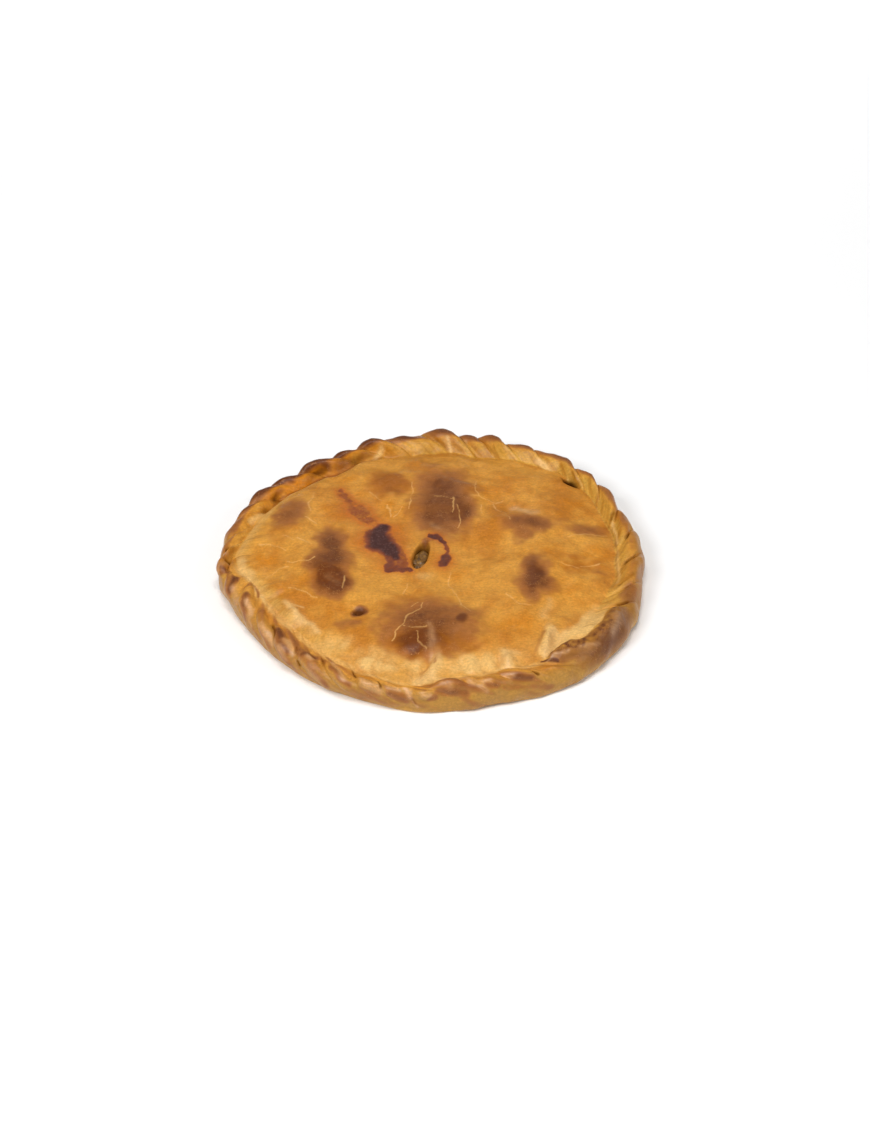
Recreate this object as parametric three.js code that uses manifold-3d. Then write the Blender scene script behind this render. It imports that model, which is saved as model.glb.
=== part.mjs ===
// A round, uncut empanada: a flat pie with a swollen lid, a rim folded over into a rope, and a vent slot
// with a little of the filling showing in it.
// Millimetres, +Z up. The origin is the middle of the flat base, and -Y is the front.
import * as THREE from "three";
import { mergeVertices } from "three/addons/utils/BufferGeometryUtils.js";
import Module from "manifold-3d";

// Driving dimensions
const RIM_RADIUS = 138; // mean outer radius of the pie
const RIM_HEIGHT = 20; // top of the rope above the table
const ROPE_WIDTH = 19; // from the widest part of the wall in to the groove beside the lid
const GROOVE_DEPTH = 5; // bottom of the groove below the top of the rope
const LID_HEIGHT = 22.5; // lid at its middle, between the swellings
const FOLD_DEPTH = 4.2; // from the back of a fold down to its crease
const FOLD_TWIST = 6.6; // degrees that a crease runs clockwise from the top of the rope to the groove
const FIRST_CREASE = 171; // degrees, counter-clockwise from +X
const PLEAT_DEPTH = 0.9; // how far the rope pinches the edge of the lid
const PLEAT_REACH = 14; // how far in the pinching dies away
const CLEARANCE = 0.3; // gap between the filling and the crust

// How the rim differs round the pie: an amount, and the turn in degrees where it peaks, with its reach there
const ROPE_SWING = { amount: 2, peak: -40 }; // the rope is wider at the right of the front
const ROPE_THIN = { amount: 4.5, peak: 178, reach: 18 }; // and thin at the left
const GROOVE_SWING = { amount: 2, peak: 60 }; // the groove is deeper at the back
const LEFT_KNOB = { amount: 2.6, peak: 182, reach: 5 }; // the first fold stands out at the left
const LOW_FOLDS = { amount: 0.2, peak: 215, reach: 40 }; // the folds start lower at the left of the front

// Turn of the rim that each fold takes, in degrees, counter-clockwise from the first crease.
// The widest one, at the right of the front, is where the dough has torn and swollen.
const FOLD_TURNS = [
  8, 8.5, 10.5, 11, 8, 10, 11.5, 10.5, 5, 6.5, 8, 9.5, 12, 8, 8, 32.5, 8, 12.5, 10.5, 11, 13, 9.5, 15, 9,
  8, 6.5, 9.5, 12, 9, 9, 12, 11, 10, 8, 9,
];
const COLUMN_TURN = 1.85; // degrees between columns of vertices, about

// Waves in the plan of the rim: how many go round, how high they are, and where one peaks, in degrees
const PLAN_WAVES = [
  [1, 3.9, -17],
  [2, 0.9, 122],
  [3, 2.6, 184],
  [4, 1.2, 168],
  [5, 1.2, 172],
];

// Section of the wall and rope, from the edge of the base over the top to the groove:
// share of the rope's width in from the outside, and share of the rim's height
const SECTION = [
  [0.3, 0],
  [0.16, 0.05],
  [0.05, 0.22],
  [0, 0.5],
  [0.07, 0.76],
  [0.22, 0.94],
  [0.42, 1],
  [0.64, 0.93],
  [0.82, 0.78],
  [1, 0.66],
];
const CREST = 6 / 9; // place of the top of the rope along the section
const SECTION_STEPS = 13;

// Folds along the section: where they start to show on the wall, are full, and sink towards the groove
const FOLD_START = 0.36;
const FOLD_FULL = 0.66;
const FOLD_SINK = 0.85;
const FOLD_SUNK = 0.5; // what is left of them in the groove
// Highest line of a fold, as a share of its turn from the clockwise crease, outside and inside the rope
const FOLD_PEAK = { outside: 0.62, inside: 0.32 };
const FOLD_LEVEL = 0.6; // the part of a fold's depth that lies inside the smooth rope
const USUAL_TURN = 10; // degrees of a fold of the usual thickness

// Rings of the lid, as shares of its radius, from the groove to the middle
const LID_RINGS = [0.965, 0.92, 0.86, 0.79, 0.71, 0.62, 0.53, 0.44, 0.35, 0.26, 0.17, 0.09, 0];

// The lid falls to the groove as a steep power of the way out, and the rim holds its swellings down
const LID_POWER = 4;
const LID_EASE = 0.8;
const LID_HOLD = 0.25;

// Swellings of the lid: place, rise, and reach along X and Y
const SWELLINGS = [
  { x: 8, y: 51, rise: 4.5, reachX: 26, reachY: 34 },
  { x: -66, y: -17, rise: 4, reachX: 22, reachY: 30 },
  { x: -1, y: -78, rise: 5, reachX: 42, reachY: 24 },
  { x: 66, y: -34, rise: 4, reachX: 22, reachY: 26 },
  { x: 61, y: 25, rise: 3.5, reachX: 24, reachY: 16 },
  { x: -90, y: 35, rise: 2.5, reachX: 18, reachY: 18 },
  { x: -32, y: 64, rise: 2, reachX: 20, reachY: 16 },
];

// Hollows in the crust: place, half sizes, and turn about Z in degrees
const VENT = { x: -6.5, y: -6.5, halfX: 5.2, halfY: 12, depth: 7, turn: -14 };
const BLISTER = { x: -46, y: -66, halfX: 4.2, halfY: 3.4, depth: 2, turn: 20 };
const SLIT = { x: 88, y: 78, halfX: 5, halfY: 1.8, depth: 5, turn: -40 };
const FILLING_SINK = 1.5; // how far the top of the filling lies below the crust
const FILLING_LUMP = { height: 0.6, acrossX: 0.9, acrossY: 0.7 }; // unevenness of its top, waves per mm

const radians = THREE.MathUtils.degToRad;
const { lerp, smoothstep, clamp, euclideanModulo } = THREE.MathUtils;
const section = new THREE.SplineCurve(SECTION.map(([inward, up]) => new THREE.Vector2(inward, up)));

// What a bump or a swing adds at a turn round the rim
function bumpAt(turn, { amount, peak, reach }) {
  const away = euclideanModulo(turn - radians(peak) + Math.PI, 2 * Math.PI) - Math.PI;
  return amount * Math.exp(-((away / radians(reach)) ** 2));
}
const swingAt = (turn, { amount, peak }) => amount * Math.cos(turn - radians(peak));

function rimRadius(turn) {
  const waves = PLAN_WAVES.map(([count, height, peak]) => height * Math.cos(count * (turn - radians(peak))));
  return waves.reduce((sum, wave) => sum + wave, RIM_RADIUS + bumpAt(turn, LEFT_KNOB));
}

const ropeWidth = (turn) => ROPE_WIDTH + swingAt(turn, ROPE_SWING) - bumpAt(turn, ROPE_THIN);
const grooveDepth = (turn) => GROOVE_DEPTH + swingAt(turn, GROOVE_SWING);
const lidRadius = (turn) => rimRadius(turn) - ropeWidth(turn);
const grooveHeight = (turn) => RIM_HEIGHT - grooveDepth(turn);

// Radius and height of the smooth rim at a place along the section
function smoothRim(turn, along) {
  const at = section.getPoint(along);
  const drop = (1 - at.y) * RIM_HEIGHT;
  const sink = along > CREST ? grooveDepth(turn) / ((1 - SECTION.at(-1)[1]) * RIM_HEIGHT) : 1;
  return new THREE.Vector2(rimRadius(turn) - ropeWidth(turn) * at.x, RIM_HEIGHT - drop * sink);
}

// Back of one fold, from 0 at its creases to 1 at its highest. Its highest line lies towards the
// counter-clockwise crease on the outside of the rope and towards the clockwise one on the inside.
function foldBack(phase, along) {
  const peak = lerp(FOLD_PEAK.outside, FOLD_PEAK.inside, smoothstep(along, 0.5, 1));
  return Math.sin(Math.PI * phase ** (Math.log(0.5) / Math.log(peak)));
}

// How strongly the folds show: not at all low on the wall, fully on top, and less in the groove
function foldGrip(turn, along) {
  const lower = bumpAt(turn, LOW_FOLDS);
  const sunk = (1 - FOLD_SUNK) * smoothstep(along, FOLD_SINK, 1);
  return smoothstep(along, FOLD_START - lower, FOLD_FULL - lower) * (1 - sunk);
}

// Clockwise turn of a column from where it crosses the top of the rope
const columnTwist = (along) => radians(FOLD_TWIST) * clamp((along - CREST) / (1 - CREST), -1, 1);

// Columns of vertices round the rim: turn at the top of the rope, and place across the fold
function makeColumns() {
  const columns = [];
  let crease = FIRST_CREASE;
  for (const turn of FOLD_TURNS) {
    const count = Math.max(4, Math.round(turn / COLUMN_TURN));
    const thickness = clamp(Math.sqrt(turn / USUAL_TURN), 0.8, 1.25);
    for (let i = 0; i < count; i += 1) {
      columns.push({ turn: radians(crease + (turn * i) / count), phase: i / count, thickness });
    }
    crease += turn;
  }
  return columns;
}

// A point of the wall or rope
function rimPoint(column, along) {
  const turn = column.turn - columnTwist(along);
  const step = 0.01;
  const here = smoothRim(turn, along);
  const run = smoothRim(turn, Math.min(1, along + step)).sub(smoothRim(turn, Math.max(0, along - step)));
  const outward = new THREE.Vector2(run.y, -run.x).normalize();
  const relief = FOLD_DEPTH * column.thickness * (foldBack(column.phase, along) - FOLD_LEVEL);
  here.addScaledVector(outward, relief * foldGrip(turn, along));
  return new THREE.Vector3(here.x * Math.cos(turn), here.x * Math.sin(turn), here.y);
}

// Height of the lid at a place in its plan, for a share of the way out to the groove
function lidHeight(x, y, turn, share) {
  const edge = grooveHeight(turn);
  const dome = edge + (LID_HEIGHT - edge) * (1 - share ** LID_POWER) ** LID_EASE;
  const hold = smoothstep(1 - share, 0, LID_HOLD);
  const swollen = SWELLINGS.map(
    (s) => s.rise * Math.exp(-(((x - s.x) / s.reachX) ** 2) - ((y - s.y) / s.reachY) ** 2),
  );
  return dome + hold * swollen.reduce((sum, rise) => sum + rise, 0);
}

// A point of the lid
function lidPoint(column, share) {
  const turn = column.turn - columnTwist(1);
  const radius = lidRadius(turn) * share;
  const x = radius * Math.cos(turn);
  const y = radius * Math.sin(turn);
  const edge = rimPoint(column, 1).z - grooveHeight(turn); // height that the fold gives the groove here
  const fromEdge = lidRadius(turn) * (1 - share);
  const pleat = (edge - PLEAT_DEPTH * foldBack(1 - column.phase, 1)) * Math.exp(-fromEdge / PLEAT_REACH);
  return new THREE.Vector3(x, y, lidHeight(x, y, turn, share) + pleat * share);
}

// The crust before its hollows are cut: a lathe form whose vertices are moved to the folded rim and lid.
// Its rows run from the middle of the base out, up the wall, over the rope and in across the lid.
function shapeCrust() {
  const columns = makeColumns();
  const alongs = Array.from({ length: SECTION_STEPS + 1 }, (_, i) => i / SECTION_STEPS);
  const rows = [
    { point: () => new THREE.Vector3(), plain: [0, 0] },
    ...alongs.map((along) => ({
      point: (column) => rimPoint(column, along),
      plain: smoothRim(0, along).toArray(),
    })),
    ...LID_RINGS.map((share) => ({
      point: (column) => lidPoint(column, share),
      plain: [lidRadius(0) * share, lidHeight(0, 0, 0, share)],
    })),
  ];
  const lathe = new THREE.LatheGeometry(
    rows.map((row) => new THREE.Vector2(...row.plain)),
    columns.length,
  );
  const position = lathe.getAttribute("position");
  for (let i = 0; i < position.count; i += 1) {
    const column = columns[Math.floor(i / rows.length) % columns.length];
    const { x, y, z } = rows[i % rows.length].point(column);
    position.setXYZ(i, x, y, z);
  }
  return lathe;
}

// A round-bottomed hollow's cutter, at the height of the lid or groove there
function hollowCutter(hollow, height) {
  return new THREE.SphereGeometry(1, 20, 12)
    .scale(hollow.halfX, hollow.halfY, hollow.depth)
    .rotateZ(radians(hollow.turn))
    .translate(hollow.x, hollow.y, height);
}

function heightAt({ x, y }) {
  const turn = Math.atan2(y, x);
  return lidHeight(x, y, turn, Math.min(1, Math.hypot(x, y) / lidRadius(turn)));
}

const wasm = await Module();
wasm.setup();

// A closed geometry as a solid that can be cut
function toSolid(geometry) {
  const bare = geometry.clone();
  bare.deleteAttribute("normal");
  bare.deleteAttribute("uv");
  const merged = mergeVertices(bare, 1e-3);
  return new wasm.Manifold(
    new wasm.Mesh({
      numProp: 3,
      vertProperties: merged.getAttribute("position").array,
      triVerts: new Uint32Array(merged.index.array),
    }),
  );
}

function toGeometry(solid) {
  const mesh = solid.getMesh();
  const geometry = new THREE.BufferGeometry();
  geometry.setAttribute("position", new THREE.BufferAttribute(mesh.vertProperties, 3));
  geometry.setIndex(new THREE.BufferAttribute(mesh.triVerts, 1));
  geometry.computeVertexNormals();
  return geometry;
}

// The bit of filling in the vent: the hollow's form, a little smaller, under a low uneven mound
function shapeFilling() {
  const inside = { ...VENT };
  for (const size of ["halfX", "halfY", "depth"]) inside[size] -= CLEARANCE;
  const mound = new THREE.SphereGeometry(1, 24, 16)
    .scale(2 * VENT.halfX, 1.4 * VENT.halfY, VENT.depth)
    .translate(VENT.x, VENT.y, heightAt(VENT) - FILLING_SINK - VENT.depth);
  const position = mound.getAttribute("position");
  for (let i = 0; i < position.count; i += 1) {
    const { height, acrossX, acrossY } = FILLING_LUMP;
    const lump = height * Math.sin(acrossX * position.getX(i)) * Math.cos(acrossY * position.getY(i));
    position.setZ(i, position.getZ(i) + lump);
  }
  return toSolid(hollowCutter(inside, heightAt(VENT))).intersect(toSolid(mound));
}

const hollows = [VENT, BLISTER, SLIT].map((hollow) => toSolid(hollowCutter(hollow, heightAt(hollow))));
const cutCrust = hollows.reduce((crust, hollow) => crust.subtract(hollow), toSolid(shapeCrust()));

function piece(name, geometry, color, roughness) {
  const material = new THREE.MeshStandardMaterial({ color, roughness, metalness: 0 });
  const mesh = new THREE.Mesh(geometry, material);
  mesh.name = name;
  return mesh;
}

const empanada = new THREE.Group();
empanada.add(piece("crust", toGeometry(cutCrust), 0xbf7f35, 0.45));
empanada.add(piece("vent_filling", toGeometry(shapeFilling()), 0x6e4a1e, 0.5));

export default empanada;
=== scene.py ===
"""A round empanada with a rim folded over into a rope, seen from the front and above.

The crust is one flat disc of dough whose points are moved to the lid, the rope, the wall and the base.
Sizes are in millimetres and turns in degrees counter-clockwise from +X, until a mesh is written in metres.
Places up the rim's section run from 0 at the foot to 1 at the edge of the lid. A span gives where something
starts and is full, and often where it then fades and ends. A change is an amount, the turn of its middle and
its reach; a swing is an amount and the turn of its peak; a layer of unevenness is its height, size and seed.
"""
import math

import bmesh
import bpy
import numpy as np
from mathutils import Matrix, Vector


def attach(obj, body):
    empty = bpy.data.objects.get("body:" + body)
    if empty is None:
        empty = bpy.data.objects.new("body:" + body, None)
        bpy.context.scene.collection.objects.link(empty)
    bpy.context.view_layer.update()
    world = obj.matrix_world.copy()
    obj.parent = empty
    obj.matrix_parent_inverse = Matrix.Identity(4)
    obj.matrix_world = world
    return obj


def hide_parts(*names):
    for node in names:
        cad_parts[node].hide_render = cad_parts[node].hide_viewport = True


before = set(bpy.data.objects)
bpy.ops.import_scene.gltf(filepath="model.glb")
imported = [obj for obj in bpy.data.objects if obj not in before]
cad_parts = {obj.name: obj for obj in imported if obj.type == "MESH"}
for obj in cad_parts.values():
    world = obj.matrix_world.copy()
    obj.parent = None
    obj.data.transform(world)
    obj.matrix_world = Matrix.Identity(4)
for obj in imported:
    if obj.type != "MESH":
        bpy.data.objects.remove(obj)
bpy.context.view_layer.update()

MM = 0.001
# Waves that add up to an unevenness, and how many times its size they are long
WAVES = 28
WAVE_LENGTHS = (1.3, 3.0)

# The rim
RIM_RADIUS = 137.3
RIM_HEIGHT = 20.0
RIM_DROP = (-3.0, 245, 42)
# Waves of the outline: how many go round, height and turn of a peak
PLAN_WAVES = ((1, 3.9, -17), (2, 0.9, 122), (3, 2.6, 184), (4, 1.2, 168), (5, 1.2, 172))
RIM_CHANGES = (
    (2.4, 186, 4), (-2, 26, 6), (-2.6, 67, 7), (-3.2, 121, 6), (-1.2, 136, 4), (2.6, 146, 6),
    (-1.5, 288, 7), (1.5, 36, 4), (2, 48, 4),
)
FOOT_CHANGES = ((-1.7, 246, 8), (-1.6, 256, 6), (1, 268, 8), (-1.2, 286, 8))
FOOT_SPAN = (0.1, 0.45)
ROPE_WIDTH = 17.0
ROPE_CHANGES = ((-6.5, 180, 12), (4.5, 90, 22), (-5, 40, 22), (6, 328, 20), (-8, 260, 14), (-4, 302, 7))
GROOVE_DEPTH = 3.8
GROOVE_SWING = (3.2, 62)
GROOVE_CHANGES = ((-2.2, 318, 14), (1.6, 138, 28))
# Points of the section: shares of the rope's width inwards and of the rim's height
SECTION = np.array([
    (0.3, 0), (0.16, 0.05), (0.05, 0.22), (0, 0.5), (0.07, 0.76), (0.22, 0.94), (0.42, 1), (0.64, 0.95),
    (0.84, 0.82), (1, 0.66),
])
CREST = 6 / 9
SLOPE_STEP = 0.01
UNROLL_START = 60.0
SECTION_LENGTH = 38.0

# The folds of the rope, counter-clockwise: turn, swell, cut of the crease before it, peak across its outside
FIRST_CREASE = 171.0
FOLDS = np.array([
    (8, 0.4, 0.2, 0.6), (8.5, 1.1, 0.8, 0.6), (10.5, 1, 0.9, 0.6), (11, 1.1, 0.8, 0.6), (8, 0.9, 0.9, 0.6),
    (10, 1, 1.2, 0.6), (11.5, 1.1, 1.2, 0.6), (10.5, 1, 1, 0.6), (5, 0.8, 0.9, 0.6), (6.5, 0.8, 1, 0.6),
    (8, 0.8, 0.9, 0.6), (9.5, 0.8, 0.5, 0.6), (12, 1.1, 0.6, 0.6), (8, 0.7, 0.5, 0.6), (8, 1, 1, 0.6),
    (32.5, 0.5, 0.3, 0.6), (8, 0.7, 0.3, 0.6), (12.5, 0.7, 0.3, 0.6), (10.5, 0.65, 0.35, 0.6),
    (11, 0.7, 0.3, 0.6), (13, 0.8, 0.4, 0.5), (9.5, 0.65, 0.35, 0.5), (15, 0.5, 0.25, 0.45),
    (9, 0.6, 0.2, 0.4), (8, 1, 0.4, 0.4), (6.5, 0.5, 0.2, 0.45), (9.5, 1.2, 0.5, 0.55), (12, 0.5, 0.2, 0.6),
    (9, 1.2, 0.3, 0.64), (9, 1, 0.4, 0.64), (12, 1.2, 0.6, 0.64), (11, 0.8, 0.5, 0.62),
    (10, 0.8, 0.5, 0.62), (8, 0.4, 0.2, 0.6), (9, 0.3, 0.1, 0.6),
])
FOLD_TURNS, FOLD_SWELLS, CREASE_CUTS, OUTER_PEAKS = FOLDS.T
FOLD_STARTS = np.cumsum(FOLD_TURNS) - FOLD_TURNS
USUAL_TURN = 10.0
SWELL_LIMITS = (0.75, 1.2)
FOLD_BACKS = FOLD_SWELLS * np.clip(np.sqrt(FOLD_TURNS / USUAL_TURN), *SWELL_LIMITS)
VALLEY_SHARE = 0.6
VALLEYS = VALLEY_SHARE * (FOLD_BACKS + np.roll(FOLD_BACKS, 1)) / 2
FOLD_DEPTH = 4.6
FOLD_SWING = (0.9, 90)
FOLD_ROUND = 0.85
FOLD_TWIST = 6.6
FOLD_GRIP_SPAN = (0.3, 0.6)
GATHERING = 0.7
WALL_TWIST = 4.5
WALL_TWIST_SWING = (-2.0, 90)
INNER_PEAK = 0.26
INNER_PEAK_SPAN = (0.5, 0.95)
INNER_HOLD = 0.4
INNER_HOLD_SWING = (0.15, 235)
INNER_HOLD_SPAN = (0.7, 0.95)
CREASE_DEPTH = 1.0
CREASE_WIDTH = 0.9
CREASE_SPAN = (0.3, 0.55, 0.7, 0.95)
LIP_REACH = 1.9
LIP_WIDTH = 2.6
LIP_LEAST = 0.15
OUTER_LIP_SPAN = (0.3, 0.45, 0.6, 0.72)
INNER_LIP = 0.5
INNER_LIP_SPAN = (0.68, 0.78, 0.82, 1)

# The torn fold: a roll whose lower and upper edges up the section change from its tip to where it is full
TORN_SPAN = (301, 309, 330, 340)
TORN_TIP_SPAN = (303, 320)
TORN_LOWER = (0.74, 0.44)
TORN_UPPER = (1.0, 0.74)
TORN_RISE = 0.16
TORN_FALL = (0.06, 0.07)
TORN_LIFT = 2.8
TORN_LEAN = 2.6
TORN_LEAN_SPAN = (0.66, 0.86)

# The folds that lie open like leaves at the front left: turn, place up the section, half length and width,
# tilt and height
LEAF_SPAN = (182, 191, 299, 306)
LEAVES = (
    (185.5, 0.55, 7, 5, -35, 2.4), (193.7, 0.54, 14, 4.6, -26, 2.8), (202, 0.66, 22, 5.4, -30, 3.4),
    (214.6, 0.54, 19, 5, -26, 3.2), (223.6, 0.51, 19, 5.4, -29, 3.4), (235, 0.51, 17, 5.4, -26, 3.2),
    (243.3, 0.58, 18, 5, -27, 3), (252.7, 0.52, 11, 4.2, -26, 2.6), (259.8, 0.5, 10, 4, -22, 2.2),
    (268.5, 0.52, 8, 3.8, -16, 2.4), (275, 0.63, 12, 6.4, -18, 3.8), (280.8, 0.7, 6, 4, -35, 2),
    (286.3, 0.63, 9, 4.4, -25, 2.4), (294, 0.7, 15, 6.2, -26, 3.6),
)
LEAF_ROUND = 0.95
LEAF_EDGE = (0.8, 1.1)
# Fine ridges along the leaves
GRAIN_TILT = -26.0
GRAIN_SIZE = 2.6
GRAIN_STRETCH = 0.12
GRAIN_HEIGHT = 0.3
GRAIN_SEED = 61
GRAIN_SPAN = (0.2, 0.4, 0.8, 0.95)
# Short cuts between folds: turn and place up the section of both ends, and depth
CUTS = (
    (200.2, 0.97, 207.5, 0.66, 0.5), (183.2, 0.95, 183.8, 0.62, 1.3), (214.3, 0.76, 221.5, 0.5, 1.4),
    (227.5, 0.7, 229.5, 0.5, 0.9), (230, 0.48, 232.4, 0.38, 1.1), (236, 0.83, 239.6, 0.59, 1.2),
    (246.5, 0.93, 249.4, 0.59, 1.4), (255.5, 0.77, 257, 0.46, 1.4), (264.8, 0.43, 266.5, 0.31, 0.9),
    (297.3, 0.69, 299.4, 0.52, 1.6), (335.5, 0.79, 340.3, 0.54, 1.3), (343, 0.95, 352.3, 0.54, 0.7),
    (354.8, 0.86, 1, 0.52, 1.3), (7, 0.8, 10.5, 0.61, 1.2), (17.8, 0.92, 20.8, 0.71, 1.1),
    (83.8, 0.98, 90.3, 0.66, 0.7),
)
CUT_WIDTH = 0.9
CUT_FADE = 0.3
# Dents of the rim: turn, place up the section, half sizes round and up, depth, and darkness of the painted
# shade in them
DENTS = (
    (128.8, 0.83, 5.5, 3.2, 2, 1.2), (115.5, 0.9, 5, 2.8, 1.6, 1), (148.5, 0.9, 5, 2.8, 1.6, 1.2),
    (155.8, 0.93, 4.5, 2.6, 1.4, 1), (277, 0.5, 7, 3, 0.8, 0.3), (294, 0.5, 10, 3, 1, 0.3),
    (91, 0.95, 9, 1.6, 0.6, 0.4),
)
# Columns of the dents: depth, and darkness of the painted shade
DEPTH_COLUMN = 4
SHADE_DARKNESS_COLUMN = 5

# The lid
LID_HEIGHT = 22.5
LID_ROUND = 6.0
LID_ROUND_SWING = (2.6, 110)
LID_PUFF = (16.0, 138, 30)
LID_HOLD = 0.25
EDGE_POWER = 8
EDGE_REACH = 6.0
EDGE_LIFT_REACH = 7.0
# Swellings: place, rise and reach along X and Y
SWELLINGS = (
    (8, 51, 4.5, 26, 34), (-66, -17, 4, 22, 30), (-1, -78, 5, 42, 24), (66, -34, 4, 22, 26),
    (61, 25, 3.5, 24, 16), (-90, 35, 2.5, 18, 18), (-32, 64, 2, 20, 16), (-92, 57, 4, 15, 14),
)
# Wrinkles near the rope: from, to, height and width
WRINKLES = (
    (76, -64, 71, -111, 3.2, 3.6), (82, -70, 77, -106, -1.6, 4), (4, -102, -8, -123, -1.8, 2.4),
    (9, -102, -3, -125, 2, 3.4), (50, -101, 44, -117, 2.2, 3), (45, -102, 41, -116, -1.4, 2.6),
    (-94, -50, -73, -82, 1.6, 3.4), (-95, -55, -84, -78, 1.8, 6), (28, -104, 22, -124, 1.5, 4),
    (-38, -103, -45, -118, 1.6, 4), (-7, 112, -13, 88, 1.6, 4), (-104, -42, -96, -30, 1.4, 5),
)
WRINKLE_FADE = 0.4

# Hollows: place, half sizes and turn; then depth and darkness of each, which is painted shade in the vent
# and the slit and the blister's own dark brown
VENT = (-6.4, -5.4, 5.5, 14.2, -14.0)
BLISTER = (-46, -64, 3.8, 4.6, 20.0)
SLIT = (93, 82, 7.5, 4.0, -42.0)
HOLLOWS = ((VENT, 7.0, 1.0), (BLISTER, 1.5, 0.5), (SLIT, 5.0, 1.0))
PIT_EDGE = (0.6, 1.05)
HOLLOW_WALL = 0.55
HOLLOW_FROM = 0.7
# Raised edge of the vent: height, place out from the vent's middle and width, as shares of its half sizes
VENT_LIP = (0.4, 1.2, 0.2)

# Unevenness of the crust in layers, which is full from a few millimetres over the table
LIVELY_HEIGHT = 4.0
SWAY = ((0.8, 17, 31), (0.3, 7, 41))
SKIN = ((0.25, 9, 1), (0.12, 4, 2))
FOLD_SKIN = ((0.16, 3.5, 6), (0.08, 1.8, 7))
FOLD_SKIN_SPAN = (0.4, 0.65)
TORN_SKIN = ((0.15, 3.5, 3), (0.18, 1.8, 5))
PLEATS = ((0.8, 5.0, 8),)
PLEAT_LID_SPAN = (0.8, 0.96)
PLEAT_RIM_SPAN = (0.8, 0.95)
PLEAT_LEAST = 0.35
PLEAT_FRONT = (0.65, 265, 60)
# The groove is evened out from these places on the rim and the lid
SOFT_RIM = 0.9
SOFT_LID = 0.96
SOFT_TIMES = 5
SOFT_SHARE = 0.5

# Resolution of the crust
LID_CELLS = 200
RIM_RINGS = 52
BASE_RINGS = 4
BASE_CENTRE = 0.1
BASE_DROP = 1.0
LID_END = 1 - 1e-5
VENT_REACH = 20.0
CRACK_REACH = 3.5
WEAVE_LENGTH = 10.0

# The bit of filling: shares of the vent's half sizes, half height, and shift from the middle of the vent
FILLING_SHARES = (0.88, 0.76)
FILLING_HALF_HEIGHT = 3.0
FILLING_SHIFT = (-0.4, -2.2, -4.6)
FILLING_SKIN = ((0.12, 4, 21), (0.07, 1.8, 22))
FILLING_DIVISIONS = 5

# Wavering edges of what is painted on the crust
SOFT_EDGE = ((1.8, 14, 11), (0.9, 5, 12))
RAGGED_EDGE = ((0.9, 6, 41), (0.5, 2.5, 42))
PATCH_EDGE = (0.2, 1.4)
STROKE_TURN_SWAY = ((0.25, 6, 71),)
STROKE_PLACE_SWAY = ((0.015, 6, 72),)

# Browning: place, half sizes, turn and strength of each patch
BROWNED = (
    (8, 47, 25, 45, 0, 0.82), (9, 62, 15, 18, 0, 0.86), (3, 30, 17, 18, 0, 0.84), (18, 38, 13, 20, 0, 0.9),
    (11, 15, 9, 8, 0, 0.5), (-65, 2, 12, 25, 0, 0.84), (-65, -16, 17, 29, 0, 0.9),
    (-63, -33, 15, 18, 0, 1.25), (-1, -80, 38, 31, 0, 0.78), (-7, -93, 19, 15, 0, 1.1),
    (66, -30, 10, 26, -8, 0.98), (69, -37, 17, 12, 0, 0.78), (63, 26, 19, 11, 4, 0.76),
    (59, 15, 9, 13, 0, 0.5), (80, 30, 16, 9, 0, 0.25), (-92, 36, 12, 20, -25, 0.65),
    (-100, 12, 20, 10, 0, 0.2), (-27, 70, 17, 18, 0, 0.57), (103, 27, 17, 9, 10, 0.58),
    (-50, -76, 12, 6, 0, 0.4), (20, -77, 7, 8, 0, 1.0), (-3.6, 8, 4.5, 4, 0, 0.6),
    (-46, -64, 4.6, 5.6, 0, 1.0), (93, -12, 13, 15, 0, 0.3), (108, -14, 13, 13, 0, 0.25),
    (26, -98, 12, 5, 25, 0.4),
)
# The same on the rim: turn, place up the section, half sizes round and up, and strength
RIM_BROWNED = (
    (121, 0.86, 12, 5, 0.6), (112, 0.86, 9, 4, 0.5), (133, 0.84, 10, 4, 0.4), (146, 0.84, 5, 3, 0.5),
    (352, 0.42, 50, 9, 0.32), (324, 0.47, 38, 9, 0.85), (342, 0.62, 15, 8, 0.6), (228, 0.42, 60, 9, 0.22),
    (208, 0.42, 40, 9, 0.22),
)
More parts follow.
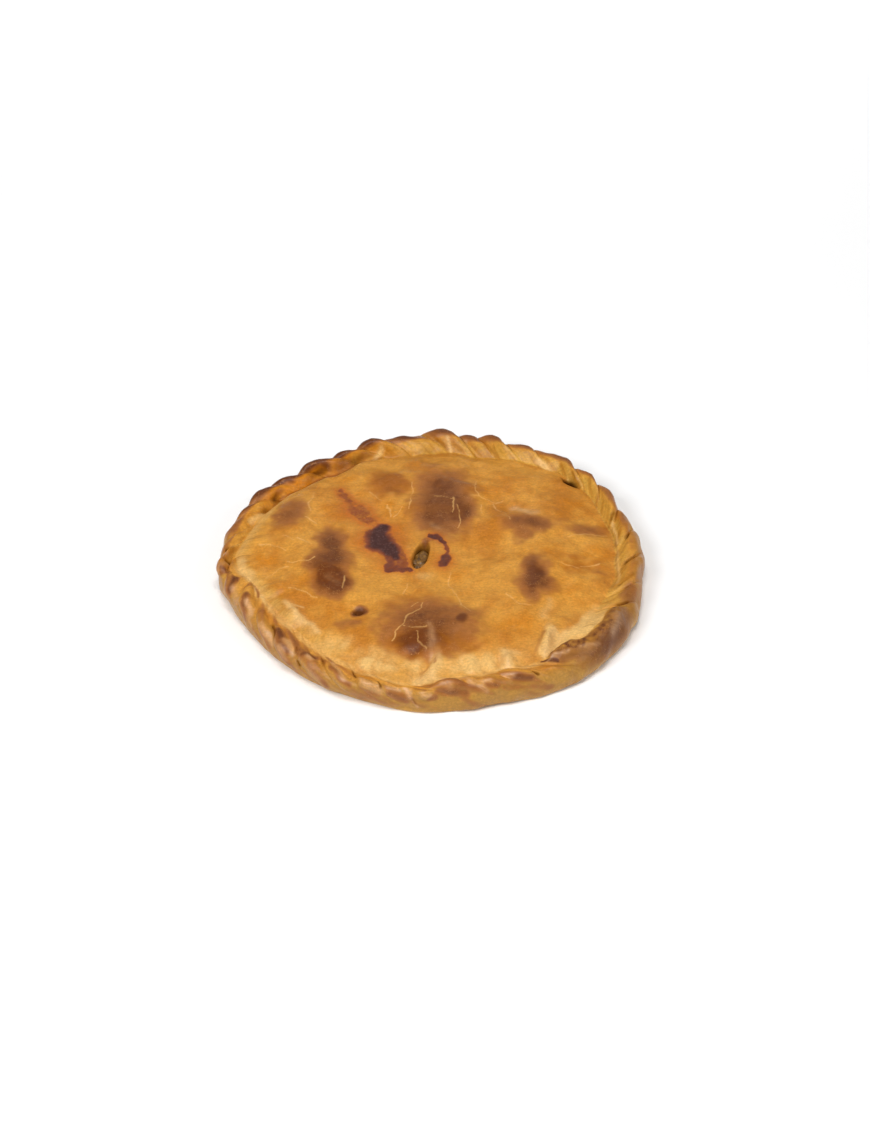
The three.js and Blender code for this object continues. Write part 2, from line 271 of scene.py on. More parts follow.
# Strokes on the rim's folds: turn and place up the section of both ends, half width and strength. The brown
# strokes are browning, partly painted shade in the slit and under the torn roll; the pale ones are mostly
# painted highlights
# Some of these are painted shade: the slit at the torn tip and under the torn roll
BROWN_AND_SHADE_STROKES = (
    (186.5, 0.57, 187, 0.61, 3, 0.9), (187.6, 0.49, 188.3, 0.7, 1.5, 0.7),
    (191.2, 0.73, 196, 0.51, 2, 0.95), (197.3, 0.74, 197.2, 1, 2.2, 0.4),
    (201.3, 0.68, 204.5, 0.54, 2.3, 0.85), (204.5, 0.54, 207, 0.4, 2.3, 0.65),
    (198.5, 0.98, 202.4, 0.88, 1.1, 0.6), (214.5, 0.5, 219.3, 0.37, 2, 0.55),
    (219.4, 0.65, 222.5, 0.62, 3.4, 0.95), (223.6, 0.57, 227, 0.49, 2, 0.85),
    (231.6, 0.61, 235, 0.72, 3, 0.85), (235, 0.53, 241, 0.31, 2.2, 0.65), (237.6, 0.9, 240, 0.86, 2.2, 0.5),
    (241.2, 0.66, 247.7, 0.48, 2.2, 0.65), (251, 0.45, 256, 0.4, 2.2, 0.45),
    (259, 0.47, 263.5, 0.34, 2.6, 0.65), (266, 0.65, 268.2, 0.59, 1.5, 0.45),
    (269.3, 0.43, 271.4, 0.44, 2, 0.65), (272, 0.62, 275, 0.59, 2.2, 0.5),
    (272.3, 0.53, 279, 0.46, 3.2, 0.6), (284.5, 0.53, 287.7, 0.5, 2.3, 0.65),
    (292.3, 0.6, 296.6, 0.52, 3, 0.8), (289.5, 0.48, 302, 0.28, 2.2, 0.4),
    (307.5, 0.72, 318, 0.42, 4.5, 0.65), (302.4, 0.97, 306, 0.74, 1.2, 1.2), (128, 0.64, 126.4, 0.8, 3, 1),
    (141.5, 0.62, 140, 0.72, 2.6, 0.9),
)
# Mostly painted highlights on the leaves and the torn roll, with some pale dough
PALE_AND_HIGHLIGHT_STROKES = (
    (187, 0.47, 184.5, 0.82, 0.9, 0.6), (190.6, 0.5, 192, 0.34, 1.5, 0.6),
    (195.6, 0.59, 200.7, 0.49, 1.9, 0.5), (203.8, 0.63, 208, 0.5, 1.5, 0.9),
    (206.6, 0.62, 209.8, 0.38, 0.8, 0.6), (214, 0.56, 217, 0.51, 1.9, 0.7),
    (217, 0.51, 220, 0.45, 2.2, 0.8), (224.3, 0.65, 228.2, 0.54, 1.9, 0.9),
    (224.3, 0.51, 227, 0.38, 1.5, 0.6), (233.4, 0.63, 235.3, 0.61, 1.5, 0.9),
    (235.6, 0.48, 238.6, 0.38, 1.9, 0.4), (240.2, 0.83, 246.2, 0.57, 1.7, 0.8),
    (251.4, 0.59, 256.3, 0.48, 2.2, 0.8), (258.5, 0.59, 261, 0.53, 1.9, 0.8),
    (263, 0.63, 264.6, 0.44, 1.9, 1), (264.8, 0.41, 266.7, 0.29, 0.9, 0.8),
    (267.5, 0.53, 269.7, 0.5, 1.2, 0.9), (272.6, 0.63, 275.4, 0.58, 1.5, 0.5),
    (272.8, 0.92, 278.4, 0.85, 0.9, 0.7), (278.6, 0.78, 284.3, 0.43, 1.5, 0.6),
    (280.4, 0.66, 285.7, 0.59, 1.5, 0.5), (289.8, 0.7, 292, 0.62, 1.5, 0.6),
    (291.8, 0.89, 297.3, 0.82, 0.9, 0.6), (303.2, 0.87, 310, 0.73, 0.7, 0.5),
    (313, 0.65, 319, 0.52, 0.9, 0.35), (324.6, 0.54, 330, 0.56, 2.2, 0.5), (182, 0.6, 181, 0.75, 1.5, 0.6),
)
# Pale dough between the folds, inside the rope, as strokes
FLANK_STROKES = (
    (109, 0.96, 106, 0.84, 2.6, 0.9), (85, 0.74, 83.5, 0.98, 1.4, 0.8), (55, 0.88, 51, 1, 3, 0.9),
    (17, 0.88, 6, 0.93, 1.6, 0.7), (2.5, 0.97, 347, 0.92, 2.2, 0.5), (163, 0.9, 158, 0.97, 3, 0.7),
)
# Browned tops of the folds, streaks of the leaves and the torn roll, and painted shade along the groove
CAP_SPAN = (0.42, 0.55, 0.66, 0.78)
CAP_CREASE = 0.3
CAP_LEAST = 0.25
CAP_CHANGES = ((1.3, 132, 32), (0.5, 78, 28), (0.4, 40, 22))
STREAK = 0.2
STREAK_GRAIN = 1.2
STREAK_SPAN = (0.1, 0.3, 0.8, 0.95)
TORN_BROWN = 0.63
TORN_MOTTLE = ((0.28, 2.2, 51),)
# Line of painted shade along the groove, under the lid's edge: strength, place up the section and reach
GROOVE_SHADE_LINE = (1.0, 0.97, 0.04)
GROOVE_SHADE_CHANGES = ((0.3, 5, 32), (0.75, 130, 26))

# Pale dough on the front of the lid, partly painted highlight, with painted highlights on a swelling and
# below the vent:
# place, half sizes, turn and strength
PALE_AND_HIGHLIGHTS = (
    (-88, -58, 9, 11, 30, 0.2), (-60, -91, 11, 10, -30, 1.1), (-66, -94, 15, 6, -35, 0.8),
    (-32, -104, 16, 8, -15, 0.9), (-34, -114, 14, 7, -12, 1.1), (-13, -111, 8, 8, 0, 1.1),
    (9, -113, 7, 7, 0, 0.6), (24, -110, 8, 8, 0, 1.1), (34, -110, 7, 9, 0, 1.0), (24, -117, 14, 4, 0, 0.9),
    (50, -108, 9, 10, 0, 0.5), (-110, -22, 7, 12, 20, 0.4), (86, -84, 10, 6, 40, 0.9),
    (62, 43, 6, 2.4, -20, 1.4), (-3, -28, 7, 5, 0, 1.0),
)
PALE_SHARE = 0.42
# Pale band round the front of the lid; edge of the lid, with painted highlight where it rounds over at the
# far left; groove;
# side of the torn fold; painted light from the floor on the foot; painted highlights on the wrinkles
FRONT = (1.0, 274, 48)
BAND_SHARE = 0.36
BAND_SWAY = ((0.03, 24, 46),)
BAND_SPAN = (0.72, 0.94)
EDGE_SPAN = (0.9, 0.98)
EDGE_LEAST = 0.1
EDGE_CHANGES = ((0.3, 195, 45), (0.45, 140, 30))
GROOVE_SPAN = (0.76, 0.9)
GROOVE_PALE = (0.5, 0.12)
FLANK_TURNS = (303, 309, 326, 340)
FLANK_LID_SPAN = (0.93, 0.98)
FLANK_RIM_SPAN = (0.7, 0.82)
FLANK_SHARE = 0.8
FOOT_LIGHT_SPAN = (0.03, 0.22)
FOOT_LEAST = 0.3
FOOT_FRONT = (0.5, 278, 60)
WRINKLE_HIGHLIGHT = 0.25
# Pale ridges of the lid, partly painted highlight; painted highlights (glints); and painted shade in its
# hollows:
# both ends, half width and strength
LID_RIDGES = (
    (-92, -52, -74, -80, 2.6, 0.9), (2, -101, 2.5, -110, 2.4, 0.8), (-7, -126, -2, -123, 4, 1),
    (0, -117, -4, -125, 3, 0.8), (49, -102, 45, -114, 3.4, 0.9), (70, -102, 77, -82, 3.6, 1),
    (73, -100, 82, -86, 3, 0.9), (-126, -8, -117, -22, 2.4, 0.45), (-116, -24, -111, -37, 2.4, 0.45),
    (-109, -44, -101, -63, 2.2, 0.5), (-90, -53, -80, -56, 0.6, 0.7), (76, -52, 73, -68, 3, 0.5),
)
RIDGE_PALE = 0.7
RIDGE_SHINE = 0.35
INNER_SIDE_SPAN = (0.86, 0.94)
GLINTS = (
    (-1, -82, 0.5, -99, 2, 0.4), (-64, -33, -61, -35, 2.6, 0.14), (2, 23, 5, 20, 3, 0.3),
    (56, 44, 66, 40, 3.2, 0.9),
)
PAINTED_HOLLOW_SHADE = (
    (5.6, -103, 3.4, -111, 1.7, 0.4), (-2.5, -113, -7.5, -122, 2, 0.28), (44, -105, 42, -114, 2.4, 0.22),
    (65, -100, 71, -83, 2.4, 0.3),
)
# Yellow dough inside the rope, along the left of the lid's edge and on the torn fold, and the bare wall
YELLOW_SPAN = (0.66, 0.84)
YELLOW_LEAST = 0.5
YELLOW_CHANGES = ((0.5, 45, 75), (-0.5, 134, 28))
STRIP = (0.9, 196, 36)
STRIP_SWAY = ((0.02, 12, 47),)
STRIP_SPAN = (0.9, 0.97)
TORN_YELLOW = 0.55
TORN_YELLOW_TURNS = (301, 310, 335, 348)
WALL_SPAN = (0.4, 0.75)
# Orange flushes: place, half sizes and strength
FLUSHED = (
    (107, -2, 12, 14, 0.7), (91, -12, 12, 12, 0.8), (74, 0, 12, 9, 0.5), (56, -77, 18, 10, 0.6),
    (-109, -7, 9, 10, 0.9), (24, -96, 20, 7, 0.8), (-27, 37, 15, 16, 0.7), (15, -27, 10, 9, 0.6),
    (46, 79, 22, 12, 0.4), (92, -40, 14, 12, 0.5), (-55, -64, 12, 9, 0.5), (95, 55, 12, 9, 0.6),
    (-60, 75, 12, 9, 0.6), (-85, -35, 14, 9, 0.4), (-6, -95, 18, 12, 1.7), (-27, 72, 18, 16, 1),
    (-65, -32, 14, 13, 0.9), (26, -98, 12, 6, 0.9), (34, 62, 12, 12, 0.6), (-10, 40, 8, 10, 0.5),
)
RIM_FLUSH = (2.0, 134, 26)
RIM_FLUSH_SPAN = (0.68, 0.78, 0.95, 1.05)

# Burnt filling that ran out on the lid: how burnt each run is, and points with half widths along it
LEAKS = (
    (1.0, ((-32, 23, 5), (-34, 13, 10), (-33, 7, 10.5), (-27, -1, 7.5), (-24, -8, 5))),
    (0.42, ((-26, -7, 4), (-27, -14, 3.2), (-25.5, -20, 3.2), (-20, -22.5, 2.4), (-14, -21.5, 2))),
    (0.14, ((-23, -6, 6.5), (-22, -14, 7.5), (-20, -19, 5))),
    (0.6, ((0, 12.5, 2.2), (5.5, 10.5, 2.4), (8.8, 5.5, 1.7))),
    (0.3, ((8.8, 5.5, 1.6), (10.4, -3, 1.3), (10.3, -8, 2))), (0.55, ((10, -9, 3.4), (8, -14, 4.6))),
)
TRAIL = ((-60, 63, 2.6), (-57, 56, 3), (-53, 49, 5), (-47, 40, 8), (-43, 33, 6.5), (-38, 26, 5))
STAIN_FALL = 0.6
STAIN_LIMIT = 9.0

# Pale cracks of the lid
CRACKS = (
    ((-13, 70), (-12, 63), (-13, 52), (-14, 42)), ((30, 74), (29, 63), (32, 55), (43, 49), (48, 53)),
    ((26, 55), (32, 55)), ((41, 48), (43, 42), (48, 36), (52, 27)), ((33, 46), (33, 37)),
    ((18, 42), (19, 37), (19, 27), (18, 20)), ((15, 51), (15, 47), (14, 36)), ((2, 53), (7, 52), (15, 49)),
    ((-19, 45), (-24, 34)), ((-29, 47), (-27, 42), (-26, 34)), ((-41, 61), (-37, 56), (-33, 51)),
    ((-5, -57), (-7, -63), (-16, -71), (-17, -80), (-23, -86)), ((-23, -86), (-23, -90), (-24, -94)),
    ((-17, -82), (-13, -83), (-3, -83)), ((-9, -86), (-7, -95), (-3, -101)), ((-15, -36), (-17, -46)),
    ((13, -24), (11, -34), (17, -51), (19, -60), (25, -67)), ((-13, -61), (-8, -57)),
    ((-77, 60), (-80, 47), (-79, 40)), ((-82, 33), (-76, 27)), ((-97, 14), (-89, 8)), ((-88, 10), (-78, 3)),
    ((-112, 7), (-103, 6), (-94, -1)), ((-93, -13), (-79, -15), (-76, -12)),
    ((-107, -27), (-97, -19), (-92, -18)), ((-92, -39), (-87, -40), (-76, -49), (-73, -50)),
    ((-55, -31), (-57, -43)), ((90, 16), (101, 20), (116, 25)), ((84, -13), (88, -16), (95, -17)),
    ((97, -14), (103, -12), (109, -9)), ((48, -49), (55, -57), (64, -59)),
)
CRACK_EDGE = (0.12, 0.51)
CRACK_RAGGEDNESS = 0.6
CRACK_SWAY = ((0.15, 6, 45),)
# Painted shade in the creases, and painted highlights, partly pale dough, on the lips of the folds; a shine
# is its strength, distance from the crease and reach
CREASE_SHADE = 1.2
CREASE_SHADE_SPAN = (0.35, 0.55, 0.68, 0.82)
CUT_SHADE = 1.1
CUT_SHADE_DARKNESS = 0.8
INNER_SHINE = (0.6, 2.2, 2.0)
INNER_SHINE_SPAN = (0.6, 0.75, 0.85, 1)
OUTER_SHINE = (0.4, 1.8, 1.4)
OUTER_SHINE_SPAN = (0.35, 0.45, 0.55, 0.65)
SHINE_LEAST = 0.1
SHINE_CUT = 0.6
SHINE_LIMITS = (0.3, 1.0)
SHINE_SEED = 9

# Camera, floor and light: places in metres, sensor and pixel in millimetres
VIEW_HEIGHT = 38.0
VIEW_DISTANCE = 2.2
VIEW_TARGET = Vector((0, 0, 0.010))
SENSOR = 36.0
FRAME_PIXELS = (870, 1131)
TARGET_PIXEL = (431.0, 564.74)
PIXEL_SIZE = 0.651
FLOOR_HALF_SIZE = 6.0
FLOOR_COLOUR = (0.97, 0.97, 0.97, 1)
FLOOR_ROUGHNESS = 0.9
FLOOR_SHEEN = 0.1
SKY_STRENGTH = 0.24
PIE_MIDDLE = (0, 0, 0.02)
ALL_ROUND = 180
# Lamps: name, place, size, power, target and spread
LAMPS = (
    ("key", (-1.1, -1.2, 1.5), 1.0, 25, PIE_MIDDLE, ALL_ROUND),
    ("fill", (1.6, -0.5, 1.1), 1.0, 9, PIE_MIDDLE, ALL_ROUND),
    ("top", (0.0, -0.6, 2.0), 0.9, 20, PIE_MIDDLE, ALL_ROUND),
    ("backdrop", (0.0, 1.7, 1.3), 1.0, 6.5, (0.0, 1.5, 0.0), 85),
)


def smooth(value, low, high):
    """Eases from 0 at the low value to 1 at the high one."""
    share = np.clip((value - low) / (high - low), 0, 1)
    return share * share * (3 - 2 * share)


def blend(first, second, share):
    return first + (second - first) * share


def swing(turn, amount, peak):
    return amount * np.cos(np.radians(turn - peak))


def hump(value, amount, middle, reach):
    return amount * np.exp(-(((value - middle) / reach) ** 2))


def bump(turn, amount, middle, reach):
    return hump((turn - middle + 180) % 360 - 180, amount, 0, reach)


def bumps(turn, changes):
    return sum(bump(turn, *change) for change in changes)


def window(value, start, full, fade, end):
    """Rises from start to full and falls again from fade to end."""
    return smooth(value, start, full) * (1 - smooth(value, fade, end))


def strongest(values):
    return np.maximum.reduce(list(values))


def unevenness(points, size, seed):
    """Smooth random relief with features of about the given size, mostly from -1 to 1."""
    draw = np.random.default_rng(seed)
    total = np.zeros(len(points))
    for _ in range(WAVES):
        way = draw.normal(size=3)
        way *= 2 * math.pi / (np.linalg.norm(way) * size * draw.uniform(*WAVE_LENGTHS))
        total += np.sin(points @ way + draw.uniform(0, 2 * math.pi))
    return total / math.sqrt(WAVES)


def layered(points, layers, shift=0):
    """Unevenness in layers, whose seeds can be shifted."""
    return sum(height * unevenness(points, size, seed + shift) for height, size, seed in layers)


def turned(x, y, turn):
    """Places along and across an axis that is turned."""
    cos, sin = math.cos(math.radians(turn)), math.sin(math.radians(turn))
    return x * cos + y * sin, y * cos - x * sin


def turn_of(place):
    return np.degrees(np.arctan2(place[:, 1], place[:, 0]))


def in_ellipse(x, y, place_x, place_y, half_x, half_y, turn):
    """Distance from the middle of a turned ellipse, where 1 is its edge."""
    across, up = turned(x - place_x, y - place_y, turn)
    return np.hypot(across / half_x, up / half_y)


def from_line(x, y, x0, y0, x1, y1):
    """Distance from a straight line, and share of the way along it."""
    step_x, step_y = x1 - x0, y1 - y0
    t = np.clip(((x - x0) * step_x + (y - y0) * step_y) / (step_x**2 + step_y**2), 0, 1)
    return np.hypot(x - x0 - t * step_x, y - y0 - t * step_y), t


def line_ridge(x, y, ends, height, width, fade):
    """Height of a ridge along a straight line, which fades out over a share of its length at both ends."""
    away, t = from_line(x, y, *ends)
    return height * np.exp(-((away / width) ** 2)) * smooth(np.minimum(t, 1 - t), 0, fade)


# Form of the rim

def rim_radius(turn):
    radius = RIM_RADIUS + bumps(turn, RIM_CHANGES)
    for count, height, peak in PLAN_WAVES:
        radius = radius + height * np.cos(np.radians(count * (turn - peak)))
    return radius


def rope_width(turn):
    return ROPE_WIDTH + bumps(turn, ROPE_CHANGES)


def groove_depth(turn):
    return GROOVE_DEPTH + swing(turn, *GROOVE_SWING) + bumps(turn, GROOVE_CHANGES)


def rim_height(turn):
    return RIM_HEIGHT + bump(turn, *RIM_DROP)


def lid_radius(turn):
    return rim_radius(turn) - rope_width(turn)


def lid_edge(turn):
    """Height of the lid at the bottom of the groove."""
    return rim_height(turn) - groove_depth(turn)


def section_at(along):
    """Shares of the rope's width inwards and of the rim's height, on a smooth curve through the section."""
    place = np.clip(along, 0, 1) * (len(SECTION) - 1)
    first = np.minimum(place.astype(int), len(SECTION) - 2)
    t = (place - first)[:, None]
    before, start, end, after = (SECTION[np.clip(first + k, 0, len(SECTION) - 1)] for k in (-1, 0, 1, 2))
    leave, arrive = (end - before) / 2, (after - start) / 2
    return ((2 * start - 2 * end + leave + arrive) * t**3
            + (3 * end - 3 * start - 2 * leave - arrive) * t**2 + leave * t + start)


def smooth_rim(turn, along):
    """Radius and height of the rim without its folds."""
    inward, up = section_at(along).T
    drop = (1 - up) * np.where(along > CREST, groove_depth(turn) / (1 - SECTION[-1, 1]), rim_height(turn))
    foot = bumps(turn, FOOT_CHANGES) * (1 - smooth(along, *FOOT_SPAN))
    return rim_radius(turn) - rope_width(turn) * inward + foot, rim_height(turn) - drop


def rim_outward(turn, along):
    """Radial and upward share of the direction that points out of the smooth rim."""
    r_next, z_next = smooth_rim(turn, np.minimum(1, along + SLOPE_STEP))
    r_last, z_last = smooth_rim(turn, np.maximum(0, along - SLOPE_STEP))
    length = np.hypot(r_next - r_last, z_next - z_last)
    return (z_next - z_last) / length, (r_last - r_next) / length


def fold_at(crest_turn):
    """Number of the fold and place across it from its clockwise crease, by turn at the top of the rope."""
    from_first = (crest_turn - FIRST_CREASE) % 360
    fold = np.searchsorted(FOLD_STARTS, from_first, side="right") - 1
    return fold, (from_first - FOLD_STARTS[fold]) / FOLD_TURNS[fold]


def gather(crest_turn):
    """Turns moved closer to the creases, so that more points lie there."""
    fold, phase = fold_at(crest_turn)
    crowd = GATHERING * np.sin(2 * np.pi * phase) / (2 * np.pi)
    return crest_turn - crowd * FOLD_TURNS[fold]


def fold_back(fold, phase, along):
    """Height across a fold, from 0 in its creases to 1 on its back, which leans over the next one."""
    peak = blend(OUTER_PEAKS[fold], INNER_PEAK, smooth(along, *INNER_PEAK_SPAN))
    return np.sin(np.pi * np.clip(phase, 0, 1) ** (math.log(0.5) / np.log(peak))) ** FOLD_ROUND


def leafiness(turn):
    """Where the folds lie open like leaves, instead of standing up as a rope."""
    return window(turn % 360, *LEAF_SPAN)


def fold_grip(turn, along):
    """How much of the rope's folds is left at each height: none on the foot and less in the groove."""
    hold = INNER_HOLD + swing(turn, *INNER_HOLD_SWING)
    inner = blend(1, hold, smooth(along, *INNER_HOLD_SPAN))
    return smooth(along, *FOLD_GRIP_SPAN) * inner * (1 - leafiness(turn))


def unrolled(turn, along):
    """Places on the rim laid out flat: round the rim, and up its section."""
    return np.radians((turn - UNROLL_START) % 360) * RIM_RADIUS, along * SECTION_LENGTH


def in_leaf(turn, along, leaf):
    """Place along a leaf, from its upper end at -1, and across it, from its lower edge at -1."""
    leaf_turn, leaf_along, half_length, half_width, tilt = leaf
    (x, y), (leaf_x, leaf_y) = unrolled(turn, along), unrolled(leaf_turn, leaf_along)
    length, across = turned(x - leaf_x, y - leaf_y, tilt)
    return length / half_length, across / half_width


def leaf_dome(turn, along, leaf):
    """Form of a leaf of height 1: rounded at its upper end and fading out at the lower."""
    length, across = in_leaf(turn, along, leaf)
    dome = np.clip(1 - np.minimum(length, 0) ** 2 - across**2, 0, 1) ** LEAF_ROUND
    return dome * (1 - smooth(length, 0, 1))


def leaf_cover(turn, along):
    """How much of a leaf each point lies on."""
    return strongest(1 - smooth(np.hypot(*in_leaf(turn, along, leaf)), *LEAF_EDGE) for *leaf, _ in LEAVES)


def leaf_grain(turn, along):
    """Fine ridges that run along the leaves, mostly from -1 to 1."""
    length, across = turned(*unrolled(turn, along), GRAIN_TILT)
    return unevenness(np.stack((across, GRAIN_STRETCH * length, 0 * length), axis=1), GRAIN_SIZE, GRAIN_SEED)


def cuts_at(turn, along, width):
    """Depth of the cuts between the leaves."""
    places = unrolled(turn, along)
    return strongest(
        line_ridge(*places, (*unrolled(*ends[:2]), *unrolled(*ends[2:])), depth, width, CUT_FADE)
        for *ends, depth in CUTS)


def dents_at(turn, along, column):
    """One column of the rim's dents, fading out from the middle of each."""
    places = unrolled(turn, along)
    return strongest(
        dent[column] * np.exp(-in_ellipse(*places, *unrolled(*dent[:2]), *dent[2:4], 0) ** 2)
        for dent in DENTS)


def leaf_relief(turn, along):
    """Height of the leaves over the smooth rim, less the cuts and dents."""
    height = strongest(rise * leaf_dome(turn, along, leaf) for *leaf, rise in LEAVES)
    height = height + GRAIN_HEIGHT * leaf_grain(turn, along) * leafiness(turn) * window(along, *GRAIN_SPAN)
    return height - cuts_at(turn, along, CUT_WIDTH) - dents_at(turn, along, DEPTH_COLUMN)


def column_turn(crest_turn, along):
    """Turn on a line that runs along the folds, from its turn at the top of the rope."""
    inside = FOLD_TWIST * np.clip((along - CREST) / (1 - CREST), 0, 1)
    twist = WALL_TWIST + swing(crest_turn, *WALL_TWIST_SWING)
    return crest_turn - inside + twist * np.clip((CREST - along) / (1 - CREST), 0, 1)


def next_fold(fold):
    return (fold + 1) % len(FOLDS)


def crease_cut(fold, phase):
    """Cut of the crease that a point is nearest to."""
    return np.where(phase < 0.5, CREASE_CUTS[fold], CREASE_CUTS[next_fold(fold)])


def from_creases(fold, phase, radius):
    """Distances from the clockwise crease of a fold and from its other crease."""
    span = np.radians(FOLD_TURNS[fold]) * radius
    return phase * span, (1 - phase) * span


def torn_roll(turn, along):
    """Share of the torn fold's swelling: a thick roll that narrows to a tip over the groove."""
    full = smooth(turn % 360, *TORN_TIP_SPAN)
    low, high = blend(*TORN_LOWER, full), blend(*TORN_UPPER, full)
    fade, gone = TORN_FALL
    return window(turn % 360, *TORN_SPAN) * window(along, low, low + TORN_RISE, high - fade, high + gone)


def rim_surface(crest_turn, along):
    """Turn, radius and height of points on the rope and wall."""
    fold, phase = fold_at(crest_turn)
    turn = column_turn(crest_turn, along)
    radius, height = smooth_rim(turn, along)
    out_r, out_z = rim_outward(turn, along)
    grip = fold_grip(turn, along)
    start, end = from_creases(fold, phase, radius)
    cut = crease_cut(fold, phase)

    valley = blend(VALLEYS[fold], VALLEYS[next_fold(fold)], phase)
    back = FOLD_BACKS[fold] * fold_back(fold, phase, along)
    relief = (FOLD_DEPTH + swing(turn, *FOLD_SWING)) * (back - valley)
    deep = CREASE_DEPTH * cut * window(along, *CREASE_SPAN)
    relief = relief - deep * np.exp(-((np.minimum(start, end) / CREASE_WIDTH) ** 2))
    relief = relief * grip + leaf_relief(turn, along)

    # The lip of each fold lies over its neighbour: clockwise inside the rope, the other way outside
    outside = window(along, *OUTER_LIP_SPAN) * end * np.exp(1 - end / LIP_WIDTH)
    inside = INNER_LIP * window(along, *INNER_LIP_SPAN) * start * np.exp(1 - start / LIP_WIDTH)
    lean = (outside - inside) * grip * LIP_REACH / LIP_WIDTH * blend(LIP_LEAST, 1, cut)
    torn = torn_roll(turn, along)
    height = height + TORN_LIFT * torn
    radius = radius - TORN_LEAN * torn * smooth(along, *TORN_LEAN_SPAN)
    return turn + np.degrees(lean / radius), radius + out_r * relief, height + out_z * relief


# Form of the lid

def lid_round(turn):
    """How flat the lid stays towards its edge, before it drops into the groove."""
    return LID_ROUND + swing(turn, *LID_ROUND_SWING) + bump(turn, *LID_PUFF)


def lid_height(x, y, turn, share):
    edge = lid_edge(turn)
    height = edge + (LID_HEIGHT - edge) * (1 - share ** lid_round(turn))
    hold = smooth(1 - share, 0, LID_HOLD)
    for place_x, place_y, rise, reach_x, reach_y in SWELLINGS:
        away_x, away_y = (x - place_x) / reach_x, (y - place_y) / reach_y
        height = height + hold * rise * np.exp(-(away_x**2) - away_y**2)
    for *ends, rise, width in WRINKLES:
        height = height + line_ridge(x, y, ends, rise, width, WRINKLE_FADE)
    return height


def lid_surface(plain_turn, share):
    """Places on the lid, which follows the folds at its edge."""
    even_turn = plain_turn + FOLD_TWIST
    near_edge = share**EDGE_POWER
    crest_turn = blend(even_turn, gather(even_turn), near_edge)
    edge_turn, edge_radius, edge_height = rim_surface(crest_turn, np.ones_like(share))
    turn = blend(crest_turn - FOLD_TWIST, edge_turn, near_edge)
    from_edge = lid_radius(turn) * (1 - share)
    radius = lid_radius(turn) * share + (edge_radius - lid_radius(turn)) * np.exp(-from_edge / EDGE_REACH)
    x, y = radius * np.cos(np.radians(turn)), radius * np.sin(np.radians(turn))
    lift = (edge_height - lid_edge(turn)) * np.exp(-from_edge / EDGE_LIFT_REACH)
    return x, y, lid_height(x, y, turn, np.minimum(share, 1)) + lift


# Meshes

def new_mesh(name, shape):
    """A mesh of a finished bmesh, which is freed."""
    mesh = bpy.data.meshes.new(name)
    shape.to_mesh(mesh)
    shape.free()
    return mesh


def read_points(mesh, name="co"):
    values = np.empty(len(mesh.vertices) * 3)
    mesh.vertices.foreach_get(name, values)
    return values.reshape(-1, 3)


def write_points(mesh, place):
    mesh.vertices.foreach_set("co", (place * MM).ravel())
    mesh.update()


def soften(mesh, chosen, times):
    """Evens out the chosen points of a mesh against their neighbours."""
    dough = bmesh.new()
    dough.from_mesh(mesh)
    points = [point for point, take in zip(dough.verts, chosen) if take]
    for _ in range(times):
        bmesh.ops.smooth_vert(
            dough, verts=points, factor=SOFT_SHARE, use_axis_x=True, use_axis_y=True, use_axis_z=True)
    dough.to_mesh(mesh)
    dough.free()
    mesh.update()


def add_piece(name, mesh):
    """A smooth-shaded object of a mesh, in the scene."""
    for face in mesh.polygons:
        face.use_smooth = True
    piece = bpy.data.objects.new(name, mesh)
    bpy.context.collection.objects.link(piece)
    return piece


# The flat disc of dough, and where it rises to

def round_off(place):
    """A point of the square grid moved to the round disc, rings of squares becoming circles."""
    a, b = place.x, place.y
    if a == 0 and b == 0:
        return Vector((0, 0, 0))
    if abs(a) > abs(b):
        reach, turn = a, math.pi / 4 * b / a
    else:
        reach, turn = b, math.pi / 2 - math.pi / 4 * a / b
    return Vector((reach * math.cos(turn), reach * math.sin(turn), 0))


def add_ring(dough, edge, scale, drop=0.0):
    """One more ring of faces round the disc's edge. Returns the new edge and its points."""
    made = bmesh.ops.extrude_edge_only(dough, edges=edge)["geom"]
    points = [item for item in made if isinstance(item, bmesh.types.BMVert)]
    bmesh.ops.scale(dough, vec=(scale, scale, 1), verts=points)
    bmesh.ops.translate(dough, vec=(0, 0, -drop), verts=points)
    return [item for item in made if isinstance(item, bmesh.types.BMEdge) and item.is_boundary], points


def from_cracks(x, y):
    """Distance from the nearest crack of the lid."""
    pieces = [(*start, *end) for crack in CRACKS for start, end in zip(crack, crack[1:])]
    return np.min([from_line(x, y, *piece)[0] for piece in pieces], axis=0)


def detailed_edges(dough):
    """Edges of the disc that get a finer mesh, round the vent and along the cracks."""
    flat = np.array([point.co for point in dough.verts])
    radius = lid_radius(turn_of(flat))
    x, y = flat[:, 0] * radius, flat[:, 1] * radius
    detailed = (np.hypot(x - VENT[0], y - VENT[1]) < VENT_REACH) | (from_cracks(x, y) < CRACK_REACH)
    dough.verts.index_update()
    return [edge for edge in dough.edges if all(detailed[point.index] for point in edge.verts)]


